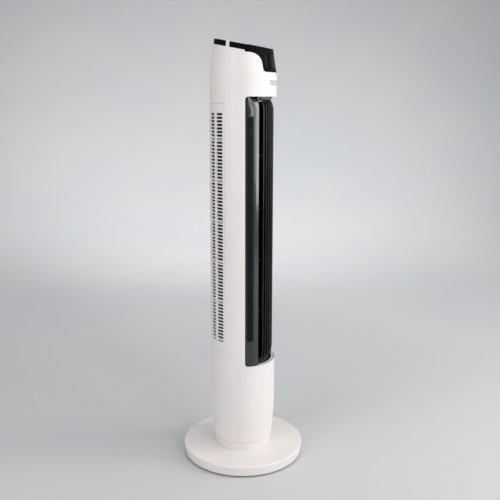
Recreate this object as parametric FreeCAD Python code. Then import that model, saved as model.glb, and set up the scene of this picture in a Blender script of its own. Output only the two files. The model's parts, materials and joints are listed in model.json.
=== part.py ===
"""Free-standing tower fan: round weighted base, swinging column, cross-flow rotor.

Millimetres. +Z is up, the air leaves towards -Y, and the origin is on the floor
at the middle of the base. Angles named "bearing" run around the column from the
front (0 degrees, -Y) towards +X (90 degrees); 180 degrees is the back.
"""
import FreeCAD
import Part
import math
import os

Vector = FreeCAD.Vector
UP = Vector(0, 0, 1)
CORNER_IN = 1 - math.sqrt(0.5)   # how far a unit corner round's middle lies in from its sides

# ---- column envelope -------------------------------------------------------
column_radius = 80.0
column_bottom_z = 49.3
taper_top_z = 150.0
taper_drop = 0.000718            # radius lost per square millimetre below taper_top_z
head_base_z = 955.0
head_draft = 0.157               # radius lost per millimetre of height in the head
top_centre_z = 1024.9
top_slope_deg = math.degrees(math.atan(0.193))
shell_wall = 2.5
above_everything = 1100.0

# ---- base ------------------------------------------------------------------
foot_height = 4.6
foot_radius = 11.0
foot_circle = 125.0
foot_count = 6
base_radius = 152.0
base_lower_radius = 149.5
base_top_z = 28.0
base_edge_round = 2.6
base_wall = 3.0
base_plate_radius = 146.3
base_plate_thickness = 2.5
base_screw_circle = 138.0
weight_outer_radius = 130.0
weight_inner_radius = 72.0
weight_thickness = 6.0
cover_hole_radius = 20.0

# ---- swivel ----------------------------------------------------------------
collar_top_z = 48.5
collar_wall = 3.0
collar_deck = 4.0
collar_screw_circle = 59.0
post_radius = 15.0
post_bore = 10.0
post_top_z = 80.0
post_flange_radius = 34.0
running_gap = 0.04
seat_gap = 0.05
washer_thickness = 1.2
turntable_z = collar_top_z + washer_thickness + seat_gap
turntable_thickness = 4.0
turntable_radius = 69.6
turntable_hub_radius = 22.0
turntable_hub_top_z = 60.0
turntable_screw_circle = 62.0
gear_module = 1.0
gear_teeth = 60
pinion_teeth = 20
gear_backlash = 0.16
gear_z = 61.8
gear_width = 6.0
nut_height = 6.5
nut_corner_radius = 24.0
pressure_angle = math.radians(20)
pinion_x = gear_module * (gear_teeth + pinion_teeth) / 2
pinion_shaft_radius = 2.5

# ---- lower compartment -----------------------------------------------------
chassis_z = 92.0
chassis_thickness = 3.0
chassis_radius = 74.2
swing_motor_radius = 18.0
swing_motor_height = 17.0
board_thickness = 1.6
power_board_z = 100.0
power_board_y = -47.0
gland_z = 76.0
gland_radius = 7.0
gland_flange_radius = 9.5
gland_seat_depth = 0.8

# ---- air path --------------------------------------------------------------
rotor_y = 12.0
rotor_radius = 46.0
rotor_bottom_z = 267.0
rotor_top_z = 878.5
rotor_disc_count = 9
blade_count = 28
blade_depth = 10.0
blade_thickness = 1.3
blade_sweep_deg = 12.0
lower_plate_z = 258.0
upper_plate_z = 888.5
end_plate_thickness = 3.0
end_plate_radius = 76.2
end_plate_front_y = -49.0
duct_half_width = 44.4
duct_back_y = -50.0
duct_end_y = -48.0
duct_wall = 2.2
scroll_start_deg = 20.0
scroll_gap = 4.0
tongue_nose_radius = 3.0

# ---- main motor ------------------------------------------------------------
motor_radius = 38.0
motor_bottom_z = 186.0
bell_height = 14.0
stator_height = 32.0
shaft_radius = 4.0
rotor_core_radius = 21.0
stator_bore = 21.6
motor_mount_circle = 32.0
bearing_radius = 11.0
bearing_height = 7.0

# ---- outlet ----------------------------------------------------------------
opening_bottom_z = 254.0
opening_top_z = 902.5
opening_half_deg = 63.8
opening_corner = 7.0
surround_outer = 79.2
surround_inner = 76.4
panel_bend_deg = 47.0            # where the insert leaves the round and runs flat to the mouth
mouth_edge_x = 44.6
mouth_edge_y = -59.9
return_thickness = 2.5
sill_inner = 69.5
sill_half_deg = 46.0
sill_thickness = 2.0
frame_bar_height = 6.5
frame_bar_front_y = -62.5
side_grille_from_deg = 48.7
side_grille_to_deg = 61.0
side_grille_bottom_z = 317.0
side_grille_top_z = 858.0
side_slot_pitch = 5.0
side_slot_height = 3.0
fin_count = 8
fin_pitch_deg = 7.3
fin_thickness = 1.8
fin_front_radius = 73.6
fin_back_radius = 60.0
fin_end_radius = 62.0
fin_end_length = 26.0
fin_bottom_z = 262.0
fin_top_z = 894.5
cross_bar_count = 6
cross_bar_height = 2.4
cross_bar_bow = 12.0

# ---- rear grille -----------------------------------------------------------
grille_bottom_z = 288.0
grille_top_z = 887.0
grille_half_deg = 79.5
grille_gap = 0.3
slot_rows = 68
slot_pitch = 8.18
first_slot_z = 862.5
slot_height = 5.3
slot_columns = 8
slot_column_pitch_deg = 19.7
slot_width_deg = 13.5
grille_rib_depth = 3.5
grille_rib_width = 1.8
ring_rib_first_row = 8
ring_rib_every = 12
screen_outer = 73.6
screen_thickness = 0.8
screen_half_deg = 76.0
screen_margin = 5.0
groove_below_top = 9.5
groove_depth = 0.5
groove_width = 0.9

# ---- head ------------------------------------------------------------------
band_height = 12.5
drop_bottom_z = 957.7
drop_half_width = 41.0
drop_corner = 7.0
drop_flare = 24.0
drop_flare_z = 978.0
cap_plate = 3.0
bridge_front_y = 4.5
bridge_back_y = 13.5
window_half_width = 31.0
window_bottom_z = 966.0
window_top_z = 998.0
window_depth = 1.4
button_names = ("power", "speed", "mode", "timer", "swing")
button_pitch = 19.0
button_row_y = -36.0
button_radius = 6.5
button_play = 0.3
button_proud = 1.0
button_travel = 1.2
control_board_depth = 12.6
grip_half_width = 38.0
grip_front_y = 23.0
grip_back_y = 46.0
grip_depth = 26.0
grip_wall = 2.0

# ---- screws ----------------------------------------------------------------
screw_radius = 1.9
screw_head_radius = 3.5
screw_head_height = 2.0
boss_radius = 4.5
boss_x = 71.0
boss_length = 12.0
seam_screw_heights = (340.0, 500.0, 660.0, 820.0)


# ---- shape helpers ---------------------------------------------------------
def rod(radius, bottom, top, x=0.0, y=0.0):
    return Part.makeCylinder(radius, top - bottom, Vector(x, y, bottom))


def ring(outer, inner, bottom, top, x=0.0, y=0.0):
    return rod(outer, bottom, top, x, y).cut(rod(inner, bottom - 1, top + 1, x, y))


def box(x0, x1, y0, y1, z0, z1):
    return Part.makeBox(x1 - x0, y1 - y0, z1 - z0, Vector(x0, y0, z0))


def polar(radius, bearing, z=0.0):
    angle = math.radians(bearing)
    return Vector(radius * math.sin(angle), -radius * math.cos(angle), z)


def wedge(outer, inner, bottom, top, from_deg, to_deg):
    """Part of a ring between two bearings."""
    full = Part.makeCylinder(outer, top - bottom, Vector(0, 0, bottom), UP, to_deg - from_deg)
    hole = rod(inner, bottom - 1, top + 1)
    piece = full.cut(hole)
    piece.rotate(Vector(0, 0, 0), UP, from_deg - 90)
    return piece


def turned(edges):
    """Solid of revolution about Z from closed edges in the XZ plane."""
    face = Part.Face(Part.Wire(edges))
    return face.revolve(Vector(0, 0, 0), UP, 360)


def line(a, b):
    return Part.LineSegment(a, b).toShape()


def arc(a, middle, b):
    return Part.Arc(a, middle, b).toShape()


def group(solids):
    return Part.makeCompound(solids)


def around(shape, count, start_deg=0.0, sweep=360.0):
    """Copies of a shape, evenly spaced about the Z axis."""
    copies = []
    for index in range(count):
        copy = shape.copy()
        copy.rotate(Vector(0, 0, 0), UP, start_deg + sweep * index / count)
        copies.append(copy)
    return copies


def on_panel(shape):
    """Carry a shape from the level panel frame onto the sloping top of the head."""
    placed = shape.copy()
    placed.rotate(Vector(0, 0, 0), Vector(1, 0, 0), top_slope_deg)
    placed.translate(Vector(0, 0, top_centre_z))
    return placed


def above_panel(depth):
    """Everything more than depth below the sloping top, and all above it."""
    return on_panel(box(-200, 200, -200, 200, -depth, 300))


def envelope_radius(z):
    if z < taper_top_z:
        return column_radius - taper_drop * (taper_top_z - z) ** 2
    if z > head_base_z:
        return column_radius - head_draft * (z - head_base_z)
    return column_radius


def envelope(inset, bottom=column_bottom_z):
    """Whole outside of the column, drawn in by inset, up past the sloping top."""
    def point(z):
        return Vector(envelope_radius(z) - inset, 0, z)

    middle_z = (bottom + taper_top_z) / 2
    edges = [
        line(Vector(0, 0, bottom), point(bottom)),
        arc(point(bottom), point(middle_z), point(taper_top_z)),
        line(point(taper_top_z), point(head_base_z)),
        line(point(head_base_z), point(above_everything)),
        line(point(above_everything), Vector(0, 0, above_everything)),
        line(Vector(0, 0, above_everything), Vector(0, 0, bottom)),
    ]
    return turned(edges).cut(above_panel(0))


def column_wall():
    return envelope(0).cut(envelope(shell_wall, column_bottom_z - 1))


def screw_down(x, y, head_z, length):
    """Upright screw with its head at the bottom, as fitted from below."""
    head = rod(screw_head_radius, head_z, head_z + screw_head_height, x, y)
    return head.fuse(rod(screw_radius, head_z, head_z + length, x, y))


# ---- base ------------------------------------------------------------------
def base_screw_places():
    step = 360.0 / foot_count
    return [polar(base_screw_circle, step * (index + 0.5)) for index in range(foot_count)]


def base_cover():
    skirt_z = foot_height
    rim_z = base_top_z - base_edge_round
    rim_in = CORNER_IN * base_edge_round
    rim_middle = Vector(base_radius - rim_in, 0, base_top_z - rim_in)
    inner_radius = base_radius - base_wall
    ceiling_z = base_top_z - base_wall
    edges = [
        line(Vector(base_lower_radius, 0, skirt_z), Vector(base_radius, 0, rim_z)),
        arc(Vector(base_radius, 0, rim_z), rim_middle, Vector(base_radius - base_edge_round, 0, base_top_z)),
        line(Vector(base_radius - base_edge_round, 0, base_top_z), Vector(cover_hole_radius, 0, base_top_z)),
        line(Vector(cover_hole_radius, 0, base_top_z), Vector(cover_hole_radius, 0, ceiling_z)),
        line(Vector(cover_hole_radius, 0, ceiling_z), Vector(inner_radius - 2, 0, ceiling_z)),
        line(Vector(inner_radius - 2, 0, ceiling_z), Vector(base_lower_radius - base_wall + 0.3, 0, skirt_z)),
        line(Vector(base_lower_radius - base_wall + 0.3, 0, skirt_z), Vector(base_lower_radius, 0, skirt_z)),
    ]
    cover = turned(edges)
    plate_top_z = foot_height + base_plate_thickness
    bosses = [rod(boss_radius, plate_top_z, ceiling_z + 0.5, p.x, p.y) for p in base_screw_places()]
    holes = [rod(screw_radius + seat_gap, plate_top_z - 1, 20, p.x, p.y) for p in base_screw_places()]
    collar_holes = [rod(screw_radius + seat_gap, 20, 30, p.x, p.y) for p in collar_screw_places()]
    return cover.fuse(bosses).cut(holes + collar_holes)


def base_plate():
    plate = rod(base_plate_radius, foot_height, foot_height + base_plate_thickness)
    sinks = [rod(screw_head_radius + 0.3, foot_height - 1, foot_height + 1.6, p.x, p.y)
             for p in base_screw_places()]
    holes = [rod(screw_radius + 0.3, 0, 20, p.x, p.y) for p in base_screw_places()]
    return plate.cut(sinks + holes)


def base_weight():
    bottom = foot_height + base_plate_thickness
    return ring(weight_outer_radius, weight_inner_radius, bottom, bottom + weight_thickness)


def rubber_feet():
    foot = rod(foot_radius, 0, foot_height)
    foot = foot.makeChamfer(1.0, [edge for edge in foot.Edges if edge.BoundBox.ZMax < 0.1])
    foot.translate(Vector(foot_circle, 0, 0))
    return group(around(foot, foot_count, 30.0))


def base_screws():
    """Self-tapping screws of the base: six under the plate and four up into the collar."""
    head_z = foot_height - 0.4
    screws = []
    for place in base_screw_places():
        head = rod(screw_head_radius, head_z, foot_height + 1.6, place.x, place.y)
        slot = box(place.x - 2.6, place.x + 2.6, place.y - 0.4, place.y + 0.4, head_z - 1, head_z + 0.8)
        shank = rod(screw_radius, head_z + 1, 18.0, place.x, place.y)
        screws.append(head.fuse(shank).cut(slot))
    collar_head_z = base_top_z - base_wall - screw_head_height
    screws += [screw_down(p.x, p.y, collar_head_z, 18.0) for p in collar_screw_places()]
    return group(screws)


# ---- swivel ----------------------------------------------------------------
def collar_screw_places():
    return [polar(collar_screw_circle, 45.0 + 90.0 * index) for index in range(4)]


def base_collar():
    """Fixed cup under the column that carries its weight."""
    def skin(z):
        return Vector(envelope_radius(z), 0, z)

    low, high = base_top_z, collar_top_z
    deck_z = high - collar_deck
    inner = envelope_radius(low) - collar_wall
    flange_top = low + collar_wall
    flange_inner = collar_screw_circle - 8
    hole = post_radius + 0.1
    edges = [
        arc(skin(low), skin((low + high) / 2), skin(high)),
        line(skin(high), Vector(hole, 0, high)),
        line(Vector(hole, 0, high), Vector(hole, 0, deck_z)),
        line(Vector(hole, 0, deck_z), Vector(inner, 0, deck_z)),
        line(Vector(inner, 0, deck_z), Vector(inner, 0, flange_top)),
        line(Vector(inner, 0, flange_top), Vector(flange_inner, 0, flange_top)),
        line(Vector(flange_inner, 0, flange_top), Vector(flange_inner, 0, low)),
        line(Vector(flange_inner, 0, low), skin(low)),
    ]
    collar = turned(edges)
    bosses = [rod(boss_radius, low + 1, deck_z + 1, p.x, p.y) for p in collar_screw_places()]
    holes = [rod(screw_radius + seat_gap, low - 1, deck_z, p.x, p.y) for p in collar_screw_places()]
    return collar.fuse(bosses).cut(holes)


def pivot_post():
    flange_top = collar_top_z - collar_deck
    tube = ring(post_radius, post_bore, flange_top - 4, post_top_z)
    flange = ring(post_flange_radius, post_bore, flange_top - 4, flange_top)
    return tube.fuse(flange)


def thrust_washer():
    return ring(56.0, 24.0, collar_top_z, collar_top_z + washer_thickness)


def turntable_screw_places():
    return [polar(turntable_screw_circle, 45.0 + 90.0 * index) for index in range(4)]


def turntable():
    top = turntable_z + turntable_thickness
    disc = rod(turntable_radius, turntable_z, top)
    hub = rod(turntable_hub_radius, turntable_z, turntable_hub_top_z)
    bore = rod(post_radius + running_gap, turntable_z - 1, turntable_hub_top_z + 1)
    sinks = [rod(screw_head_radius + 0.3, turntable_z - 1, turntable_z + 2.2, p.x, p.y)
             for p in turntable_screw_places()]
    holes = [rod(screw_radius + 0.2, turntable_z - 1, top + 1, p.x, p.y)
             for p in turntable_screw_places()]
    return disc.fuse(hub).cut(sinks + holes + [bore])


def turntable_screws():
    head_z = turntable_z + 0.2
    return group([screw_down(p.x, p.y, head_z, 20.0) for p in turntable_screw_places()])


def retaining_washer():
    return ring(21.0, post_radius + seat_gap, turntable_hub_top_z + 0.3, gear_z)


def lock_nut():
    corners = [polar(nut_corner_radius, 60.0 * index, gear_z + gear_width) for index in range(6)]
    hexagon = Part.Face(Part.makePolygon(corners + corners[:1]))
    body = hexagon.extrude(UP * nut_height)
    return body.cut(rod(post_radius + seat_gap, 0, 100))


def flank_half_angle(radius, teeth):
    """Half the angle that one involute tooth covers at a radius."""
    pitch_radius = gear_module * teeth / 2
    base = pitch_radius * math.cos(pressure_angle)
    local = math.acos(min(1.0, base / radius))
    involute = math.tan(pressure_angle) - pressure_angle - (math.tan(local) - local)
    return math.pi / (2 * teeth) + involute - gear_backlash / (2 * pitch_radius)


def spur_gear(teeth, bottom, top, first_tooth_deg):
    pitch_radius = gear_module * teeth / 2
    tip = pitch_radius + gear_module
    root = pitch_radius - 1.25 * gear_module
    foot = max(root + 0.05, pitch_radius * math.cos(pressure_angle))

    def spot(radius, angle):
        return Vector(radius * math.cos(angle), radius * math.sin(angle), bottom)

    edges = []
    for index in range(teeth):
        centre = math.radians(first_tooth_deg) + 2 * math.pi * index / teeth
        following = centre + 2 * math.pi / teeth
        low = flank_half_angle(foot, teeth)
        middle_radius = (foot + tip) / 2
        middle = flank_half_angle(middle_radius, teeth)
        high = flank_half_angle(tip, teeth)
        edges.append(line(spot(root, centre - low), spot(foot, centre - low)))
        edges.append(arc(spot(foot, centre - low), spot(middle_radius, centre - middle),
                         spot(tip, centre - high)))
        edges.append(arc(spot(tip, centre - high), spot(tip, centre), spot(tip, centre + high)))
        edges.append(arc(spot(tip, centre + high), spot(middle_radius, centre + middle),
                         spot(foot, centre + low)))
        edges.append(line(spot(foot, centre + low), spot(root, centre + low)))
        edges.append(arc(spot(root, centre + low), spot(root, (centre + following) / 2),
                         spot(root, following - low)))
    return Part.Face(Part.Wire(edges)).extrude(UP * (top - bottom))


def swing_gear():
    """Fixed gear on the post; the pinion in the column walks around it."""
    gear = spur_gear(gear_teeth, gear_z, gear_z + gear_width, 0.0)
    windows = around(rod(4.0, gear_z - 1, gear_z + gear_width + 1, 24.0, 0.0), 3, 20.0)
    return gear.cut(windows + [rod(post_radius + seat_gap, 0, 100)])


def swing_pinion():
    half_pitch = 180.0 / pinion_teeth
    pinion = spur_gear(pinion_teeth, gear_z, gear_z + gear_width, 180.0 + half_pitch)
    hub = rod(6.0, gear_z + gear_width, gear_z + gear_width + 3)
    bore = rod(pinion_shaft_radius + 0.02, 0, 100)
    pinion = pinion.fuse(hub).cut(bore)
    pinion.translate(Vector(pinion_x, 0, 0))
    return pinion


def swing_motor_shaft():
    return rod(pinion_shaft_radius, gear_z - 1, chassis_z - swing_motor_height + 6, pinion_x)


def swing_motor():
    bottom = chassis_z - swing_motor_height
    can = rod(swing_motor_radius, bottom, chassis_z, pinion_x)
    ears = box(pinion_x - 3.5, pinion_x + 3.5, -24, 24, chassis_z - 1.5, chassis_z)
    terminal = box(pinion_x - 7, pinion_x + 7, 14, 22, bottom + 2, chassis_z - 3)
    bore = rod(pinion_shaft_radius + running_gap, bottom - 1, bottom + 7, pinion_x)
    return can.fuse([ears, terminal]).cut(bore)


# ---- lower compartment -----------------------------------------------------
def lower_chassis():
    """Floor plate on four legs that stands on the turntable."""
    plate = rod(chassis_radius, chassis_z, chassis_z + chassis_thickness)
    leg_bottom = turntable_z + turntable_thickness
    legs = [rod(5.0, leg_bottom, chassis_z + 0.5, p.x, p.y) for p in turntable_screw_places()]
    pilots = [rod(screw_radius + seat_gap, leg_bottom - 1, leg_bottom + 22, p.x, p.y)
              for p in turntable_screw_places()]
    board_rails = [box(x - 4, x + 4, power_board_y - 4, power_board_y + 4, chassis_z + 1, power_board_z + 4)
                   for x in (-30, 30)]
    board_slot = box(-45, 45, power_board_y - 0.9, power_board_y + 0.9, power_board_z, power_board_z + 20)
    return plate.fuse(legs + board_rails).cut(pilots + [board_slot, rod(24.0, 80, 110)])


def power_board():
    y0 = power_board_y - board_thickness / 2
    return box(-42, 42, y0, y0 + board_thickness, power_board_z, power_board_z + 74)


def power_parts():
    """Transformer, relays and capacitors standing on the power board."""
    face_y = power_board_y + board_thickness / 2
    transformer = box(-34, -4, face_y, face_y + 24, power_board_z + 12, power_board_z + 40)
    core = box(-38, 0, face_y, face_y + 16, power_board_z + 18, power_board_z + 34)
    relays = [box(4, 20, face_y, face_y + 14, z, z + 19) for z in (power_board_z + 10, power_board_z + 34)]
    capacitors = []
    for x, radius in ((30, 6.0), (30, 4.0)):
        z = power_board_z + 22 + 22 * len(capacitors)
        capacitors.append(Part.makeCylinder(radius, 20, Vector(x, face_y, z), Vector(0, 1, 0)))
    connector = box(-30, -10, face_y, face_y + 9, power_board_z + 52, power_board_z + 62)
    return group([transformer.fuse(core), connector] + relays + capacitors)


def cord_gland():
    """Empty bush in the back of the column where the mains lead would enter."""
    seat_y = envelope_radius(gland_z) - gland_seat_depth

    def tube(outer, start, length):
        return Part.makeCylinder(outer, length, Vector(0, start, gland_z), Vector(0, 1, 0))

    body = tube(gland_radius, seat_y - 9, 9.5)
    outer_flange = tube(gland_flange_radius, seat_y, 2.0)
    inner_flange = tube(gland_flange_radius, seat_y - 7, 2.5)
    return body.fuse([outer_flange, inner_flange]).cut(tube(3.6, seat_y - 20, 40))


# ---- main motor ------------------------------------------------------------
def motor_mount_places():
    spots = [polar(motor_mount_circle, 45.0 + 90.0 * index) for index in range(4)]
    return [Vector(p.x, p.y + rotor_y, 0) for p in spots]


def bell(bottom, opens_up):
    """One end bell of the motor, a cup with a bearing seat in its floor."""
    top = bottom + bell_height
    floor = 3.0
    body = rod(motor_radius, bottom, top, 0, rotor_y)
    if opens_up:
        hollow = rod(motor_radius - 2.5, bottom + floor, top + 1, 0, rotor_y)
        seat = rod(bearing_radius + 3, bottom, bottom + bearing_height + floor, 0, rotor_y)
        pocket = rod(bearing_radius + 0.02, bottom + floor, top + 1, 0, rotor_y)
    else:
        hollow = rod(motor_radius - 2.5, bottom - 1, top - floor, 0, rotor_y)
        seat = rod(bearing_radius + 3, top - bearing_height - floor, top, 0, rotor_y)
        pocket = rod(bearing_radius + 0.02, bottom - 1, top - floor, 0, rotor_y)
    shaft_hole = rod(shaft_radius + 1.5, bottom - 1, top + 1, 0, rotor_y)
    return body.cut(hollow).fuse(seat).cut([pocket, shaft_hole])


def motor_lower_bell():
    return bell(motor_bottom_z, True)


def motor_upper_bell():
    shell = bell(motor_bottom_z + bell_height + stator_height, False)
    holes = [rod(screw_radius + 0.1, 200, 260, p.x, p.y) for p in motor_mount_places()]
    return shell.cut(holes)


def motor_stator():
    bottom = motor_bottom_z + bell_height
    return ring(motor_radius, stator_bore, bottom, bottom + stator_height, 0, rotor_y)


def motor_windings():
    """Copper end turns of the stator, above and below its iron."""
    bottom = motor_bottom_z + bell_height
    low = ring(33.0, 24.0, bottom - 5, bottom, 0, rotor_y)
    high = ring(33.0, 24.0, bottom + stator_height, bottom + stator_height + 5, 0, rotor_y)
    return group([low, high])


def motor_bearings():
    low = motor_bottom_z + 3
    high = motor_bottom_z + 2 * bell_height + stator_height - 3 - bearing_height
    return group([ring(bearing_radius, shaft_radius + running_gap, z, z + bearing_height, 0, rotor_y)
                  for z in (low, high)])


def motor_mounts():
    low = motor_bottom_z + 2 * bell_height + stator_height
    return group([ring(6.0, screw_radius + 0.1, low, lower_plate_z, p.x, p.y) for p in motor_mount_places()])


def motor_screws():
    top = lower_plate_z + end_plate_thickness
    screws = []
    for place in motor_mount_places():
        head = rod(screw_head_radius, top, top + screw_head_height, place.x, place.y)
        shank = rod(screw_radius, 240, top + 1, place.x, place.y)
        screws.append(head.fuse(shank))
    return group(screws)


def motor_rotor():
    bottom = motor_bottom_z + bell_height
    return ring(rotor_core_radius, shaft_radius, bottom, bottom + stator_height, 0, rotor_y)


def motor_shaft():
    return rod(shaft_radius, motor_bottom_z - 2, rotor_bottom_z + 17, 0, rotor_y)


# ---- rotor and air path ----------------------------------------------------
def drive_hub():
    """Rubber-bushed hub that joins the motor shaft to the rotor."""
    return ring(14.0, shaft_radius, rotor_bottom_z - 2, rotor_bottom_z + 15, 0, rotor_y)


def blade(bottom, top):
    outer = rotor_radius - 0.4
    inner = outer - blade_depth
    half = math.degrees(blade_thickness / 2 / rotor_radius)

    def edge_arc(offset):
        lean = [polar(inner, offset - blade_sweep_deg, bottom),
                polar((outer + inner) / 2 - 0.6, offset - blade_sweep_deg * 0.38, bottom),
                polar(outer, offset, bottom)]
        return lean

    front = edge_arc(half)
    back = edge_arc(-half)
    edges = [arc(front[0], front[1], front[2]), line(front[2], back[2]),
             arc(back[2], back[1], back[0]), line(back[0], front[0])]
    return Part.Face(Part.Wire(edges)).extrude(UP * (top - bottom))


def impeller():
    """Drum of long curved blades between thin discs."""
    disc = 2.0
    blades = around(blade(rotor_bottom_z + 0.5, rotor_top_z - 0.5), blade_count)
    spacing = (rotor_top_z - rotor_bottom_z - disc) / (rotor_disc_count - 1)
    discs = []
    for index in range(rotor_disc_count):
        z = rotor_bottom_z + spacing * index
        discs.append(ring(rotor_radius, rotor_radius - blade_depth - 3, z, z + disc))
    lower_end = ring(rotor_radius - blade_depth, 14.0, rotor_bottom_z, rotor_bottom_z + disc)
    socket = ring(17.0, 14.0, rotor_bottom_z, rotor_bottom_z + 15)
    upper_end = ring(rotor_radius - blade_depth, shaft_radius, rotor_top_z - disc, rotor_top_z)
    boss = ring(11.0, shaft_radius, rotor_top_z - 16, rotor_top_z)
    drum = discs[0].fuse(discs[1:] + blades + [lower_end, socket, upper_end, boss])
    drum = drum.removeSplitter()
    drum.translate(Vector(0, rotor_y, 0))
    return drum


def impeller_pin():
    return rod(shaft_radius, rotor_top_z - 14, upper_plate_z + 8, 0, rotor_y)


def end_plate(bottom):
    plate = rod(end_plate_radius, bottom, bottom + end_plate_thickness)
    return plate.cut(box(-100, 100, -100, end_plate_front_y, bottom - 1, bottom + 10))


def lower_end_plate():
    low, high = lower_plate_z - 1, lower_plate_z + end_plate_thickness + 1
    holes = [rod(screw_radius + 0.1, low, high, p.x, p.y) for p in motor_mount_places()]
    return end_plate(lower_plate_z).cut(holes + [rod(15.5, low, high, 0, rotor_y)])


def upper_end_plate():
    low, high = upper_plate_z - 1, upper_plate_z + end_plate_thickness + 1
    cable_notch = rod(6.0, low, high, 0, 66)
    return end_plate(upper_plate_z).cut([rod(13.0, low, high, 0, rotor_y), cable_notch])


def bush_holder():
    middle = upper_plate_z + end_plate_thickness / 2
    sleeve = ring(12.9, 9.0, middle - 4.5, middle + 4.5, 0, rotor_y)
    lips = [ring(16.0, 9.0, upper_plate_z - 2, upper_plate_z, 0, rotor_y),
            ring(16.0, 9.0, upper_plate_z + end_plate_thickness, upper_plate_z + end_plate_thickness + 2,
                 0, rotor_y)]
    return sleeve.fuse(lips)


def upper_bush():
    middle = upper_plate_z + end_plate_thickness / 2
    return ring(8.95, shaft_radius + running_gap, middle - 4.5, middle + 4.5, 0, rotor_y)


def scroll():
    """Spiral wall that leads the air from the drum to the mouth."""
    end = Vector(duct_half_width - duct_wall, duct_end_y - rotor_y, 0)
    end_deg = math.degrees(math.atan2(end.y, end.x))
    start_radius = rotor_radius + scroll_gap
    growth = (end.Length - start_radius) / (scroll_start_deg - end_deg)
    bottom = lower_plate_z + end_plate_thickness

    def spiral(offset):
        points = []
        steps = 8
        for index in range(steps + 1):
            bearing = scroll_start_deg + (end_deg - scroll_start_deg) * index / steps
            radius = start_radius + growth * (scroll_start_deg - bearing) + offset
            angle = math.radians(bearing)
            points.append(Vector(radius * math.cos(angle), rotor_y + radius * math.sin(angle), bottom))
        curve = Part.BSplineCurve()
        curve.interpolate(points)
        return curve.toShape(), points[0], points[-1]

    inner, inner_start, inner_end = spiral(0)
    outer, outer_start, outer_end = spiral(duct_wall)
    edges = [inner, line(inner_end, outer_end), outer, line(outer_start, inner_start)]
    wire = Part.Wire(Part.sortEdges(edges)[0])
    return Part.Face(wire).extrude(UP * (upper_plate_z - bottom))


def tongue():
    """Straight wall with a round nose close to the drum, on the other side of the mouth."""
    bottom = lower_plate_z + end_plate_thickness
    wall = box(-duct_half_width, -duct_half_width + duct_wall, duct_end_y, -16.0, bottom, upper_plate_z)
    nose = rod(tongue_nose_radius, bottom, upper_plate_z, -duct_half_width - 1.6, -15.0)
    return wall.fuse(nose)


# ---- housings --------------------------------------------------------------
def rounded_window(half_deg, bottom, top, corner, outer, inner):
    """Curved block with rounded corners, for windows in the column wall."""
    corner_deg = math.degrees(corner / column_radius)
    tall = wedge(outer, inner, bottom, top, -half_deg + corner_deg, half_deg - corner_deg)
    wide = wedge(outer, inner, bottom + corner, top - corner, -half_deg, half_deg)
    rounds = []
    for side in (-1, 1):
        for z in (bottom + corner, top - corner):
            bearing = side * (half_deg - corner_deg)
            start = polar(inner, bearing, z)
            axis = polar(1.0, bearing)
            rounds.append(Part.makeCylinder(corner, outer - inner, start, axis))
    return tall.fuse([wide] + rounds)


def drop_block():
    """Front part of the black cap, seen from the front: a tab with flared shoulders."""
    low, flare_z = drop_bottom_z, drop_flare_z
    shoulder = drop_half_width + drop_flare
    round_in = CORNER_IN * drop_corner

    def at(x, z):
        return Vector(x, -100, z)

    def side(sign):
        return [
            arc(at(sign * (drop_half_width - drop_corner), low),
                at(sign * (drop_half_width - round_in), low + round_in),
                at(sign * drop_half_width, low + drop_corner)),
            line(at(sign * drop_half_width, low + drop_corner), at(sign * drop_half_width, flare_z)),
            arc(at(sign * drop_half_width, flare_z),
                at(sign * (drop_half_width + CORNER_IN * drop_flare), flare_z + (1 - CORNER_IN) * drop_flare),
                at(sign * shoulder, flare_z + drop_flare)),
            line(at(sign * shoulder, flare_z + drop_flare), at(sign * shoulder, above_everything)),
        ]

    bottom_edge = line(at(-drop_half_width + drop_corner, low), at(drop_half_width - drop_corner, low))
    top_edge = line(at(-shoulder, above_everything), at(shoulder, above_everything))
    wire = Part.Wire(Part.sortEdges(side(1) + side(-1) + [bottom_edge, top_edge])[0])
    return Part.Face(wire).extrude(Vector(0, 100 - 2, 0))


def cap_zone():
    return above_panel(band_height).fuse(drop_block())


def cap_body():
    """Skin and top plate of the head inside the cap zone, before it is divided."""
    skin = column_wall().common(cap_zone())
    plate = envelope(0).common(above_panel(cap_plate))
    return skin.fuse(plate)


def seam_boss(sign, z, front):
    """Screw boss beside the seam, tied to the wall by a short web."""
    span = (-boss_length, 0) if front else (0, boss_length)
    body = Part.makeCylinder(boss_radius, boss_length, Vector(sign * boss_x, span[0], z), Vector(0, 1, 0))
    outer_x = 77.4
    web = box(min(sign * boss_x, sign * outer_x), max(sign * boss_x, sign * outer_x),
              span[0], span[1], z - 1.5, z + 1.5)
    return body.fuse(web)


def seam_bore(sign, z, start, end, radius):
    return Part.makeCylinder(radius, end - start, Vector(sign * boss_x, start, z), Vector(0, 1, 0))


def front_housing():
    shell = column_wall().common(box(-100, 100, -100, 0, 0, above_everything))
    window = rounded_window(opening_half_deg, opening_bottom_z, opening_top_z, opening_corner, 90, 70)
    shell = shell.cut([window, cap_zone()])
    places = [(sign, z) for sign in (-1, 1) for z in seam_screw_heights]
    bosses = [seam_boss(sign, z, True) for sign, z in places]
    pilots = [seam_bore(sign, z, -10, 1, screw_radius + seat_gap) for sign, z in places]
    sills = [wedge(column_radius - 0.5, sill_inner, z, z + sill_thickness, -sill_half_deg, sill_half_deg)
             for z in (opening_bottom_z - sill_thickness, opening_top_z)]
    return shell.fuse(bosses + sills).cut(pilots)


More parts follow.
